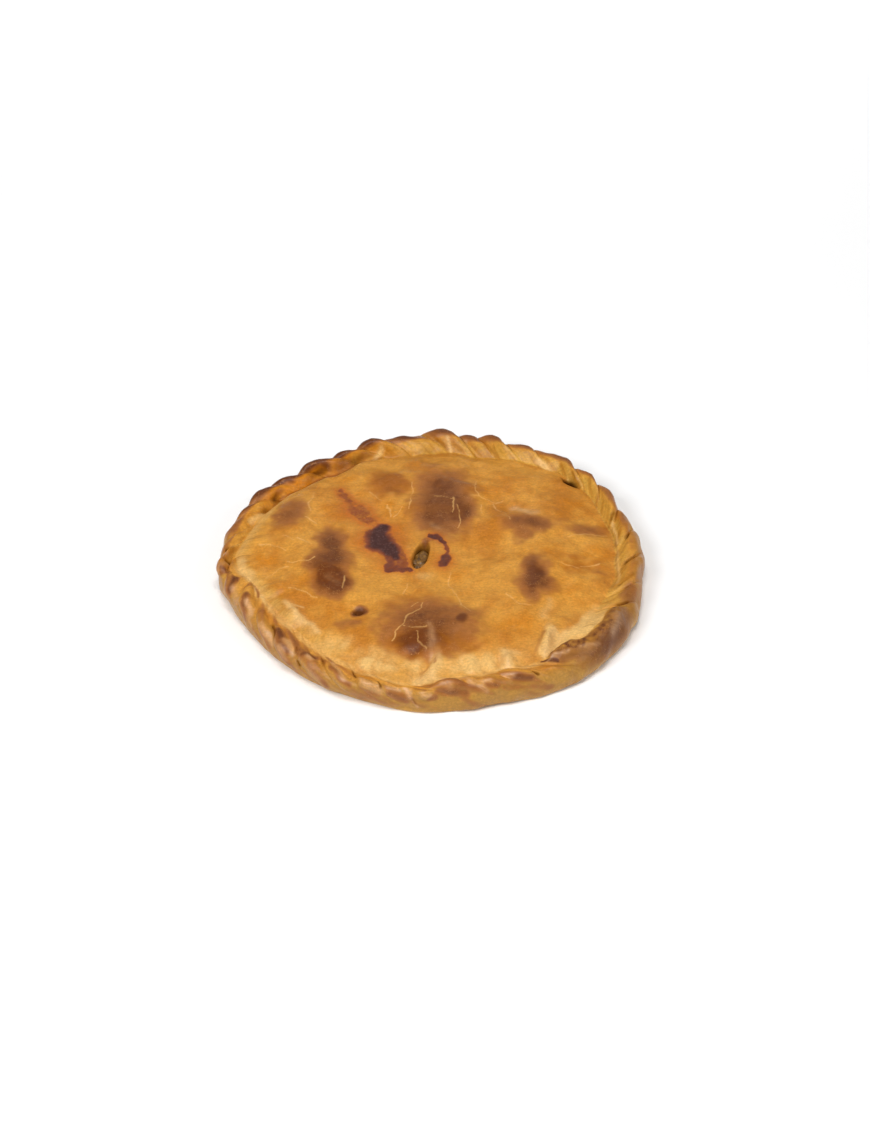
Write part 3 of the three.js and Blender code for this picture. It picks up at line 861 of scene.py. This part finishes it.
def dough_disc():
    """The flat disc: the lid out to 1, the rope and wall out to 2, and the base on a level below."""
    dough = bmesh.new()
    bmesh.ops.create_grid(dough, x_segments=LID_CELLS, y_segments=LID_CELLS, size=1)
    for point in dough.verts:
        point.co = round_off(point.co)
    bmesh.ops.subdivide_edges(dough, edges=detailed_edges(dough), cuts=1, use_grid_fill=True)
    edge = [item for item in dough.edges if item.is_boundary]
    for ring in range(RIM_RINGS, 2 * RIM_RINGS):
        edge, points = add_ring(dough, edge, (ring + 1) / ring)
    for left in range(BASE_RINGS, 0, -1):
        drop = BASE_DROP if left == BASE_RINGS else 0.0
        edge, points = add_ring(dough, edge, max(left - 1, BASE_CENTRE) / left, drop)
    bmesh.ops.pointmerge(dough, verts=points, merge_co=(0, 0, -BASE_DROP))
    bmesh.ops.recalc_face_normals(dough, faces=dough.faces)
    return dough


class Sheet:
    """The points of the flat disc: which are lid, rim and base, and where each lies across its fold.

    The weave is a place for each point that follows the folds, for the grain of the dough.
    """

    def __init__(self, plain):
        reach = np.hypot(plain[:, 0], plain[:, 1])
        self.plain_turn = turn_of(plain)
        self.base = plain[:, 2] < -BASE_DROP / 2
        self.lid = ~self.base & (reach < LID_END)
        self.rim = ~self.base & ~self.lid
        self.along = np.where(self.rim, np.clip(2 - reach, 0, 1), np.where(self.base, 0, 1))
        self.share = np.where(self.lid, reach, 1.0)
        self.inward = np.where(self.base, reach / 2, 1)
        self.crest_turn = gather(self.plain_turn + FOLD_TWIST)
        self.fold, self.phase = fold_at(self.crest_turn)
        crest = np.radians(self.crest_turn)
        run = WEAVE_LENGTH * (self.along + 2 * (1 - self.share))
        self.weave = np.stack((RIM_RADIUS * np.cos(crest), RIM_RADIUS * np.sin(crest), run), axis=1)

    def rise(self):
        """Where each point lies on the baked crust, before its small unevenness."""
        turn, radius, height = rim_surface(self.crest_turn, self.along)
        turn, radius = np.radians(turn), radius * self.inward
        height = np.where(self.base, 0, height)
        place = np.stack((radius * np.cos(turn), radius * np.sin(turn), height), axis=1)
        place[self.lid] = np.stack(lid_surface(self.plain_turn[self.lid], self.share[self.lid]), axis=1)
        x, y = place[:, 0], place[:, 1]
        for hollow, depth, _ in HOLLOWS:
            sunk = -depth * smooth(1 - in_ellipse(x, y, *hollow), 0, HOLLOW_WALL)
            place[:, 2] += np.where(self.along > HOLLOW_FROM, sunk, 0)
        place[:, 2] += np.where(self.lid, hump(in_ellipse(x, y, *VENT), *VENT_LIP), 0)
        return place


# How the bake coloured the crust

def run_field(x, y, run):
    """How far inside a run of given half widths each point lies: 1 in its middle, 0 at its edge."""
    def inside(x0, y0, width_0, x1, y1, width_1):
        away, t = from_line(x, y, x0, y0, x1, y1)
        return 1 - (away / blend(width_0, width_1, t)) ** 2

    return strongest(inside(*start, *end) for start, end in zip(run, run[1:]))


def patches(x, y, items):
    """The strongest of several soft-edged patches at each point."""
    return strongest(
        strength * (1 - smooth(in_ellipse(x, y, *ellipse), *PATCH_EDGE)) for *ellipse, strength in items)


def strokes(x, y, items):
    """The strongest of several soft strokes at each point."""
    return strongest(
        strength * np.exp(-((from_line(x, y, *ends)[0] / width) ** 2)) for *ends, width, strength in items)


class Paint:
    """Fields on the points of the crust: 0 where a colour or mark is missing, about 1 where it is full."""

    def __init__(self, place, sheet, torn):
        self.place, self.sheet, self.torn = place, sheet, torn
        self.x, self.y = place[:, 0], place[:, 1]
        self.flat = place * (1, 1, 0)
        self.soft = self.wavering(SOFT_EDGE)
        self.ragged = self.wavering(RAGGED_EDGE)
        self.turn = turn_of(place) % 360
        self.along, self.share, self.rim, self.lid = sheet.along, sheet.share, sheet.rim, sheet.lid
        self.rope = 1 - leafiness(self.turn)
        self.cut = crease_cut(sheet.fold, sheet.phase)
        self.start, self.end = from_creases(sheet.fold, sheet.phase, RIM_RADIUS)
        self.stroke_place = unrolled(
            self.turn + layered(place, STROKE_TURN_SWAY), self.along + layered(place, STROKE_PLACE_SWAY))
        self.inner_side = np.where(self.lid, 1, smooth(self.along, *INNER_SIDE_SPAN))
        # Pale ridges of the lid, partly painted highlight
        self.ridges = self.inner_side * strokes(*self.soft, LID_RIDGES)

    def wavering(self, layers):
        """The plan of the points, shifted so that what is painted by it gets a wavering edge.

        The seeds along Y follow those along X.
        """
        return self.x + layered(self.flat, layers), self.y + layered(self.flat, layers, len(layers))

    def rim_strokes(self, items):
        """The strongest of several soft strokes on the rim at each point."""
        flat = [(*unrolled(*item[:2]), *unrolled(*item[2:4]), *item[4:]) for item in items]
        return strokes(*self.stroke_place, flat)

    # Browning, with painted shade in the groove, the lid's hollows, the slit and under the torn roll
    def browning(self):
        back = fold_back(self.sheet.fold, self.sheet.phase, self.along)
        cap = window(self.along, *CAP_SPAN) * blend(CAP_CREASE, 1, back)
        cap = cap * (CAP_LEAST + bumps(self.turn, CAP_CHANGES)) * self.rope
        streak = STREAK * (1 - self.rope) * window(self.along, *STREAK_SPAN)
        streak = streak * (1 + STREAK_GRAIN * leaf_grain(self.turn, self.along))
        rough = self.torn * (TORN_BROWN + layered(self.place, TORN_MOTTLE))
        # Painted shade along the groove, where the lid's edge overhangs the rope
        groove = hump(self.along, *GROOVE_SHADE_LINE) * bumps(self.turn, GROOVE_SHADE_CHANGES)
        rim_items = [(*unrolled(*item[:2]), *item[2:4], 0, item[4]) for item in RIM_BROWNED]
        browned = patches(*unrolled(self.turn, self.along), rim_items)
        rim = strongest((cap, streak, rough, groove, browned, self.rim_strokes(BROWN_AND_SHADE_STROKES)))
        # Browned patches of the lid, and painted shade in its hollows beside the wrinkles
        lid = np.maximum(patches(*self.soft, BROWNED), strokes(*self.ragged, PAINTED_HOLLOW_SHADE))
        return self.lid * lid + self.rim * rim

    # Pale dough, with painted highlights on bulges, the lid's edge, wrinkles and ridges, and painted floor
    # light on the foot
    def paleness(self):
        front = bump(self.turn, *FRONT)
        band = front * smooth(self.share + layered(self.flat, BAND_SWAY), *BAND_SPAN)
        lid = np.clip(BAND_SHARE * band + PALE_SHARE * patches(*self.soft, PALE_AND_HIGHLIGHTS), 0, 1)
        # The lid's edge, paler all round, with painted highlight where it rounds over at the far left
        edge = smooth(self.share, *EDGE_SPAN) * (EDGE_LEAST + bumps(self.turn, EDGE_CHANGES))
        groove = smooth(self.along, *GROOVE_SPAN) * blend(*GROOVE_PALE, self.rope)
        groove = groove * (1 - leaf_cover(self.turn, self.along))
        flank = np.where(self.lid, smooth(self.share, *FLANK_LID_SPAN), smooth(self.along, *FLANK_RIM_SPAN))
        flank = FLANK_SHARE * flank * window(self.turn, *FLANK_TURNS) * (1 - self.torn)
        pale = strongest((self.lid * lid, self.lid * edge, self.rim * groove, flank))
        # Painted highlights on the wrinkles' ridges
        for *ends, rise, width in WRINKLES:
            ridge = line_ridge(self.x, self.y, ends, max(rise, 0), width, WRINKLE_FADE)
            pale = pale + WRINKLE_HIGHLIGHT * self.lid * front * ridge
        # Painted light from the floor on the foot of the wall
        foot = (1 - smooth(self.along, *FOOT_LIGHT_SPAN)) * (FOOT_LEAST + bump(self.turn, *FOOT_FRONT))
        pale = strongest((pale, self.rim * foot, self.rim * self.rim_strokes(FLANK_STROKES)))
        return pale + RIDGE_PALE * self.ridges

    def yellowing(self):
        inside = smooth(self.along, *YELLOW_SPAN) * self.rope
        inside = inside * (YELLOW_LEAST + bumps(self.turn, YELLOW_CHANGES))
        strip = smooth(self.share + layered(self.flat, STRIP_SWAY), *STRIP_SPAN) * bump(self.turn, *STRIP)
        torn = TORN_YELLOW * window(self.turn, *TORN_YELLOW_TURNS)
        return strongest((self.rim * inside, self.lid * strip, self.rim * torn))

    def flushing(self):
        lid = patches(*self.soft, [(*oval, 0, strength) for *oval, strength in FLUSHED])
        rim = window(self.along, *RIM_FLUSH_SPAN) * bump(self.turn, *RIM_FLUSH)
        return self.lid * lid + self.rim * rim

    def leaks(self):
        """The burnt runs, negative outside them, the stain round them and their trail."""
        burnt = strongest(np.minimum(run_field(*self.ragged, run), most) for most, run in LEAKS)
        trail = run_field(*self.ragged, TRAIL)
        outside = np.clip(-np.maximum(burnt, trail), 0, STAIN_LIMIT)
        return burnt, self.lid * np.exp(-STAIN_FALL * outside), self.lid * np.clip(trail, 0, 1)

    # Painted shade inside the vent and the slit, and the blister's own dark brown
    def pits(self):
        return strongest(
            darkness * (1 - smooth(in_ellipse(self.x, self.y, *hollow), *PIT_EDGE))
            for hollow, _, darkness in HOLLOWS)

    # Painted shade: darkening in the creases, the cuts and the dents of the rim
    def creases(self):
        gap = np.minimum(self.start, self.end)
        crease = self.cut * self.rope * np.exp(-((gap / CREASE_SHADE) ** 2))
        crease = crease * window(self.along, *CREASE_SHADE_SPAN)
        cuts = CUT_SHADE_DARKNESS * cuts_at(self.turn, self.along, CUT_SHADE)
        return self.rim * strongest((crease, cuts, dents_at(self.turn, self.along, SHADE_DARKNESS_COLUMN)))

    # Painted highlights along the lips of the folds and on the lid's ridges and glints
    def lips(self):
        """Painted highlights on the edges of the folds, partly pale dough, and on ridges and spots of the
        lid.
        """
        lip = hump(self.start, *INNER_SHINE) * window(self.along, *INNER_SHINE_SPAN)
        lip = lip + hump(self.end, *OUTER_SHINE) * window(self.along, *OUTER_SHINE_SPAN)
        lip_shine = np.random.default_rng(SHINE_SEED).uniform(*SHINE_LIMITS, len(FOLDS))
        lip = lip * self.rope * (SHINE_LEAST + SHINE_CUT * self.cut) * lip_shine[self.sheet.fold]
        lip = self.rim * np.maximum(lip, self.rim_strokes(PALE_AND_HIGHLIGHT_STROKES))
        glints = self.inner_side * strokes(*self.soft, GLINTS)
        return strongest((lip, RIDGE_SHINE * self.ridges, glints))

    def cracks(self):
        ragged_x, ragged_y = self.ragged
        x, y = blend(self.x, ragged_x, CRACK_RAGGEDNESS), blend(self.y, ragged_y, CRACK_RAGGEDNESS)
        away = from_cracks(x, y) + layered(self.flat, CRACK_SWAY)
        return self.lid * (1 - smooth(away, *CRACK_EDGE))

    def store(self, mesh):
        """Stores the fields in the mesh, for its material to read."""
        wall = self.rim * (1 - smooth(self.along, *WALL_SPAN))
        burnt, stain, trail = self.leaks()
        fields = {
            "bake": (self.browning(), self.paleness(), self.yellowing(), wall),
            "leak": (burnt, stain, self.pits(), self.flushing()),
            "lines": (self.creases(), self.lips(), self.cracks(), trail),
        }
        for name, values in fields.items():
            layer = mesh.attributes.new(name, "FLOAT_COLOR", "POINT")
            layer.data.foreach_set("color", np.stack(values, axis=1).ravel())
        layer = mesh.attributes.new("weave", "FLOAT_VECTOR", "POINT")
        layer.data.foreach_set("vector", (self.sheet.weave * MM).ravel())


# Materials

def linear(red, green, blue):
    """A colour given as 0 to 255 screen values, in linear light."""
    shares = (value / 255 for value in (red, green, blue))
    return tuple(s / 12.92 if s <= 0.04045 else ((s + 0.055) / 1.055) ** 2.4 for s in shares) + (1.0,)


# Colours of the crust and the filling
DEEP_GOLD = linear(186, 116, 32)
LIGHT_GOLD = linear(210, 147, 58)
AMBER = linear(174, 104, 26)
ORANGE = linear(197, 120, 18)
WALL_DOUGH = linear(177, 128, 54)
DARK_STRAW = linear(166, 111, 25)
STRAW = linear(206, 158, 64)
# Pale dough, and the colour of painted highlights and painted floor light
CREAM = linear(224, 178, 106)
TOASTED = linear(152, 91, 42)
ORANGE_TOASTED = linear(156, 88, 14)
STRAW_TOASTED = linear(142, 95, 34)
CHARRED = linear(98, 50, 20)
ORANGE_CHARRED = linear(104, 50, 6)
HAIR_CRACK = linear(190, 132, 74)
SPECK = linear(214, 152, 84)
STAIN = linear(182, 96, 30)
SCORCHED = linear(128, 62, 32)
BURNT_EDGE = linear(130, 66, 38)
BURNT = linear(70, 37, 32)
ASH = linear(122, 90, 84)
# Pale dough of the lips, and the colour of painted highlights
PALE_LIP_AND_HIGHLIGHT = linear(208, 156, 102)
# Painted shade in creases, cuts and dents
PAINTED_CREASE_SHADE = linear(100, 56, 20)
# Painted shade in the vent and the slit, and the blister's dark brown
PIT_SHADE_AND_BLISTER_BROWN = linear(64, 34, 8)
CRACK = linear(230, 176, 104)
FILLING = ((0.3, linear(50, 28, 8)), (0.5, linear(112, 76, 28)), (0.7, linear(156, 114, 52)))

# Colour sockets of a Mix node
MIX_FIRST = 6
MIX_SECOND = 7
MIX_RESULT = 2


class Finish:
    """A node material with short calls for the nodes that this object needs."""

    def __init__(self, name):
        self.material = bpy.data.materials.new(name)
        self.material.use_nodes = True
        self.tree = self.material.node_tree
        self.shader = self.tree.nodes["Principled BSDF"]
        self.place = self.add("ShaderNodeTexCoord").outputs["Object"]

    def add(self, kind, **settings):
        node = self.tree.nodes.new(kind)
        for name, value in settings.items():
            setattr(node, name, value)
        return node

    def put(self, socket, value):
        if isinstance(value, bpy.types.NodeSocket):
            self.tree.links.new(value, socket)
        else:
            socket.default_value = value

    def math(self, operation, *values, clamp=False):
        node = self.add("ShaderNodeMath", operation=operation, use_clamp=clamp)
        for socket, value in zip(node.inputs, values):
            self.put(socket, value)
        return node.outputs[0]

    def times(self, first, second):
        return self.math("MULTIPLY", first, second)

    def uneven(self, value, source, amount):
        """A value made uneven by a source that lies round a half."""
        return self.math("ADD", value, self.math("MULTIPLY_ADD", source, amount, -amount / 2))

    def mix(self, share, first, second, blend_type="MIX"):
        node = self.add("ShaderNodeMix", data_type="RGBA", blend_type=blend_type, clamp_factor=True)
        self.put(node.inputs["Factor"], share)
        self.put(node.inputs[MIX_FIRST], first)
        self.put(node.inputs[MIX_SECOND], second)
        return node.outputs[MIX_RESULT]

    def noise(self, size, detail=3.0, roughness=0.55, place=None):
        node = self.add("ShaderNodeTexNoise")
        self.put(node.inputs["Vector"], place or self.place)
        node.inputs["Scale"].default_value = 1 / (size * MM)
        node.inputs["Detail"].default_value = detail
        node.inputs["Roughness"].default_value = roughness
        return node.outputs["Fac"]

    def ramp(self, value, *stops):
        node = self.add("ShaderNodeValToRGB")
        node.color_ramp.interpolation = "EASE"
        elements = node.color_ramp.elements
        while len(elements) < len(stops):
            elements.new(0.5)
        for element, (at, colour) in zip(elements, stops):
            element.position = at
            element.color = colour
        self.put(node.inputs["Fac"], value)
        return node.outputs["Color"]

    def step(self, value, low, high, start=0.0, end=1.0):
        node = self.add("ShaderNodeMapRange", interpolation_type="SMOOTHSTEP")
        for socket, item in zip(node.inputs, (value, low, high, start, end)):
            self.put(socket, item)
        return node.outputs[0]

    def fields(self, name):
        """The four values that the mesh stores under a name."""
        node = self.add("ShaderNodeAttribute", attribute_name=name)
        parts = self.add("ShaderNodeSeparateColor")
        self.put(parts.inputs[0], node.outputs["Color"])
        return (*parts.outputs, node.outputs["Alpha"])


class CrustFinish(Finish):
    """The baked crust, coloured by the fields that its mesh stores and by noise of several sizes."""

    def __init__(self):
        super().__init__("baked_crust")
        self.brown, self.pale, self.yellow, self.wall = self.fields("bake")
        self.burnt, self.stain, self.pit, self.flush = self.fields("leak")
        self.crease, self.lip, self.crack, self.trail = self.fields("lines")
        self.weave = self.add("ShaderNodeAttribute", attribute_name="weave").outputs["Vector"]
        self.wide, self.mid, self.fine = self.noise(30), self.noise(7, 4), self.noise(1.6, 4, 0.65)
        stretch = self.add("ShaderNodeMapping")
        self.put(stretch.inputs["Vector"], self.place)
        stretch.inputs["Scale"].default_value = (0.35, 1.3, 1)
        self.grain = self.noise(1.5, 3, place=stretch.outputs[0])
        self.streaks = self.noise(1.5, 4, 0.6, place=self.weave)
        self.hairs = self.math("ABSOLUTE", self.math("SUBTRACT", self.noise(4, 4, 0.6), 0.5))
        colour = self.marked(self.burnt_over(self.browned(self.dough())))
        self.put(self.shader.inputs["Base Color"], colour)
        self.add_sheen()
        self.add_dents()

    def dough(self):
        """Golden dough with orange flushes, and its yellow and pale parts."""
        colour = self.mix(self.step(self.wide, 0.32, 0.6), DEEP_GOLD, LIGHT_GOLD)
        colour = self.mix(self.step(self.mid, 0.35, 0.75, 0, 0.35), colour, AMBER)
        colour = self.mix(self.times(self.flush, self.step(self.mid, 0.2, 0.6)), colour, ORANGE)
        colour = self.mix(self.wall, colour, WALL_DOUGH)
        strands = self.noise(6, 4, 0.6, place=self.weave)
        golden = self.ramp(strands, (0.35, DARK_STRAW), (0.65, STRAW))
        colour = self.mix(self.times(self.yellow, 0.8), colour, golden)
        # Pale dough, with painted highlights and painted floor light on the foot
        paled = self.times(self.pale, self.math("ADD", strands, self.mid))
        return self.mix(self.step(paled, 0.0, 1.0), colour, CREAM)

    def browned(self, colour):
        """Browned patches, with pale hair cracks and specks in them."""
        # The brown field holds browning and painted shade
        baked = self.uneven(self.uneven(self.brown, self.mid, 0.45), self.fine, 0.55)
        baked = self.times(baked, self.step(self.brown, 0.02, 0.25))
        toasted = self.mix(self.flush, TOASTED, ORANGE_TOASTED)
        toasted = self.mix(self.yellow, toasted, STRAW_TOASTED)
        colour = self.mix(self.step(baked, 0.04, 0.55, 0, 0.9), colour, toasted)
        charred = self.mix(self.flush, CHARRED, ORANGE_CHARRED)
        colour = self.mix(self.step(baked, 0.45, 1.0, 0, 0.95), colour, charred)
        hairs = self.times(self.step(self.hairs, 0.0, 0.02, 0.5, 0), self.step(baked, 0.3, 0.6))
        colour = self.mix(self.times(hairs, self.step(self.mid, 0.45, 0.6)), colour, HAIR_CRACK)
        specks = self.times(self.step(self.fine, 0.62, 0.72, 0, 0.6), self.step(baked, 0.3, 0.6))
        return self.mix(self.times(specks, self.step(self.mid, 0.5, 0.62)), colour, SPECK)

    def burnt_over(self, colour):
        """Burnt filling with ash on it, a stain round it and a speckled trail."""
        stained = self.times(self.stain, self.step(self.fine, 0.25, 0.6, 0.3, 0.8))
        colour = self.mix(stained, colour, STAIN)
        broken = self.step(self.uneven(self.trail, self.mid, 5.0), 0.1, 0.9)
        speckled = self.times(broken, self.step(self.fine, 0.35, 0.62, 0.4, 0.95))
        speckled = self.times(speckled, self.step(self.trail, 0, 0.9))
        colour = self.mix(speckled, colour, SCORCHED)
        edge = self.uneven(self.uneven(self.burnt, self.mid, 0.6), self.fine, 0.8)
        colour = self.mix(self.step(edge, -0.2, 0.3), colour, BURNT_EDGE)
        colour = self.mix(self.step(edge, 0.2, 0.8), colour, BURNT)
        ash = self.times(self.step(edge, 0.4, 0.8), self.step(self.fine, 0.52, 0.68, 0, 0.5))
        return self.mix(ash, colour, ASH)

    def marked(self, colour):
        """Painted highlights on the lips, painted shade in creases and pits, pale cracks and the fine grain
        of the skin.
        """
        # Painted highlights on the lips, with some pale dough
        lip_shine = self.times(self.lip, self.step(self.streaks, 0.3, 0.6, 0.45, 0.9))
        colour = self.mix(lip_shine, colour, PALE_LIP_AND_HIGHLIGHT)
        # Painted shade in the creases, cuts and dents
        colour = self.mix(self.math("MULTIPLY", self.crease, 0.75, clamp=True), colour, PAINTED_CREASE_SHADE)
        # Painted shade in the vent and the slit, and the blister's dark brown
        colour = self.mix(self.pit, colour, PIT_SHADE_AND_BLISTER_BROWN)
        colour = self.mix(self.times(self.crack, 0.56), colour, CRACK)
        fine_shade = self.step(self.fine, 0.25, 0.75, 0.82, 1.13)
        shade = self.times(fine_shade, self.step(self.grain, 0.3, 0.7, 0.92, 1.06))
        return self.mix(1.0, colour, shade, "MULTIPLY")

    def add_sheen(self):
        """Satin skin, dull in pits and creases and glossier on the lips."""
        self.put(self.shader.inputs["Roughness"], self.step(self.fine, 0.2, 0.8, 0.32, 0.46))
        skin = self.step(self.math("ADD", self.pit, self.crease), 0.1, 0.7, 1, 0)
        sheen = self.times(skin, self.step(self.lip, 0, 0.6, 0.25, 0.5))
        self.put(self.shader.inputs["Specular IOR Level"], sheen)

    def add_dents(self):
        """Fine dents of the skin."""
        relief = self.add("ShaderNodeBump")
        relief.inputs["Strength"].default_value = 0.5
        relief.inputs["Distance"].default_value = 0.8 * MM
        dents = self.math("MULTIPLY_ADD", self.grain, 0.2, self.times(self.fine, 0.35))
        self.put(relief.inputs["Height"], dents)
        self.put(self.shader.inputs["Normal"], relief.outputs[0])


def filling_finish():
    finish = Finish("vent_filling_finish")
    finish.put(finish.shader.inputs["Base Color"], finish.ramp(finish.noise(2.5, 4), *FILLING))
    finish.shader.inputs["Roughness"].default_value = 0.4
    return finish.material


# The pieces

def make_crust():
    mesh = new_mesh("folded_crust", dough_disc())
    sheet = Sheet(read_points(mesh))
    place = sheet.rise()
    turn = turn_of(place)
    lively = smooth(place[:, 2], 0, LIVELY_HEIGHT) * ~sheet.base

    level = place.copy()
    for axis in range(3):
        place[:, axis] += lively * layered(level, SWAY, axis)
    edge = np.where(sheet.lid, smooth(sheet.share, *PLEAT_LID_SPAN), smooth(sheet.along, *PLEAT_RIM_SPAN))
    pleats = layered(sheet.weave, PLEATS) * edge * (PLEAT_LEAST + bump(turn, *PLEAT_FRONT))
    place[:, 2] += lively * pleats
    write_points(mesh, place)
    soften(mesh, (sheet.rim & (sheet.along > SOFT_RIM)) | (sheet.lid & (sheet.share > SOFT_LID)), SOFT_TIMES)

    place = read_points(mesh) / MM
    relief = layered(place, SKIN)
    relief += sheet.rim * smooth(sheet.along, *FOLD_SKIN_SPAN) * layered(sheet.weave, FOLD_SKIN)
    torn = torn_roll(turn, sheet.along) * sheet.rim
    relief += torn * layered(place, TORN_SKIN)
    place += read_points(mesh, "normal") * (relief * lively)[:, None]
    write_points(mesh, place)
    Paint(place, sheet, torn).store(mesh)
    return add_piece("folded_crust", mesh)


def make_filling():
    """A lumpy bit of filling that sits in the vent."""
    lump = bmesh.new()
    bmesh.ops.create_icosphere(lump, subdivisions=FILLING_DIVISIONS, radius=1)
    mesh = new_mesh("lumpy_filling", lump)
    place_x, place_y, half_x, half_y, tilt = VENT
    share_x, share_y = FILLING_SHARES
    place = read_points(mesh) * (half_x * share_x, half_y * share_y, FILLING_HALF_HEIGHT)
    place *= (1 + layered(place, FILLING_SKIN))[:, None]
    place[:, 0], place[:, 1] = turned(place[:, 0], place[:, 1], -tilt)
    place += np.add((place_x, place_y, LID_HEIGHT), FILLING_SHIFT)
    write_points(mesh, place)
    return add_piece("lumpy_filling", mesh)


# Camera, floor and light

def look(item, way):
    """Turns a camera or lamp so that it faces along a direction."""
    item.rotation_euler = way.to_track_quat("-Z", "Y").to_euler()


def add_camera():
    data = bpy.data.cameras.new("camera")
    data.sensor_width = SENSOR
    data.lens = VIEW_DISTANCE / (PIXEL_SIZE * MM) * SENSOR / FRAME_PIXELS[1]
    data.shift_x = (FRAME_PIXELS[0] / 2 - TARGET_PIXEL[0]) / FRAME_PIXELS[1]
    data.shift_y = (TARGET_PIXEL[1] - FRAME_PIXELS[1] / 2) / FRAME_PIXELS[1]
    camera = bpy.data.objects.new("camera", data)
    up = math.radians(VIEW_HEIGHT)
    away = Vector((0, -math.cos(up), math.sin(up)))
    camera.location = VIEW_TARGET + away * VIEW_DISTANCE
    look(camera, -away)
    bpy.context.collection.objects.link(camera)
    bpy.context.scene.camera = camera


def add_floor():
    sheet = bmesh.new()
    bmesh.ops.create_grid(sheet, x_segments=1, y_segments=1, size=FLOOR_HALF_SIZE)
    mesh = new_mesh("floor", sheet)
    floor = bpy.data.objects.new("floor", mesh)
    finish = Finish("pale_floor")
    finish.shader.inputs["Base Color"].default_value = FLOOR_COLOUR
    finish.shader.inputs["Roughness"].default_value = FLOOR_ROUGHNESS
    finish.shader.inputs["Specular IOR Level"].default_value = FLOOR_SHEEN
    mesh.materials.append(finish.material)
    bpy.context.collection.objects.link(floor)


def add_lamp(name, place, size, power, target, spread):
    data = bpy.data.lights.new(name, "AREA")
    data.shape = "DISK"
    data.size = size
    data.energy = power
    data.spread = math.radians(spread)
    lamp = bpy.data.objects.new(name, data)
    lamp.location = place
    look(lamp, Vector(target) - Vector(place))
    bpy.context.collection.objects.link(lamp)


def add_sky():
    world = bpy.data.worlds.new("studio")
    world.use_nodes = True
    background = world.node_tree.nodes["Background"]
    background.inputs["Color"].default_value = (1, 1, 1, 1)
    background.inputs["Strength"].default_value = SKY_STRENGTH
    bpy.context.scene.world = world


bpy.context.scene.view_settings.view_transform = "Standard"
add_camera()
add_floor()
add_sky()
for lamp_values in LAMPS:
    add_lamp(*lamp_values)

crust = make_crust()
crust.data.materials.append(CrustFinish().material)
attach(crust, "root")
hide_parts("crust")

filling = make_filling()
filling.data.materials.append(filling_finish())
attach(filling, "root")
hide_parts("vent_filling")
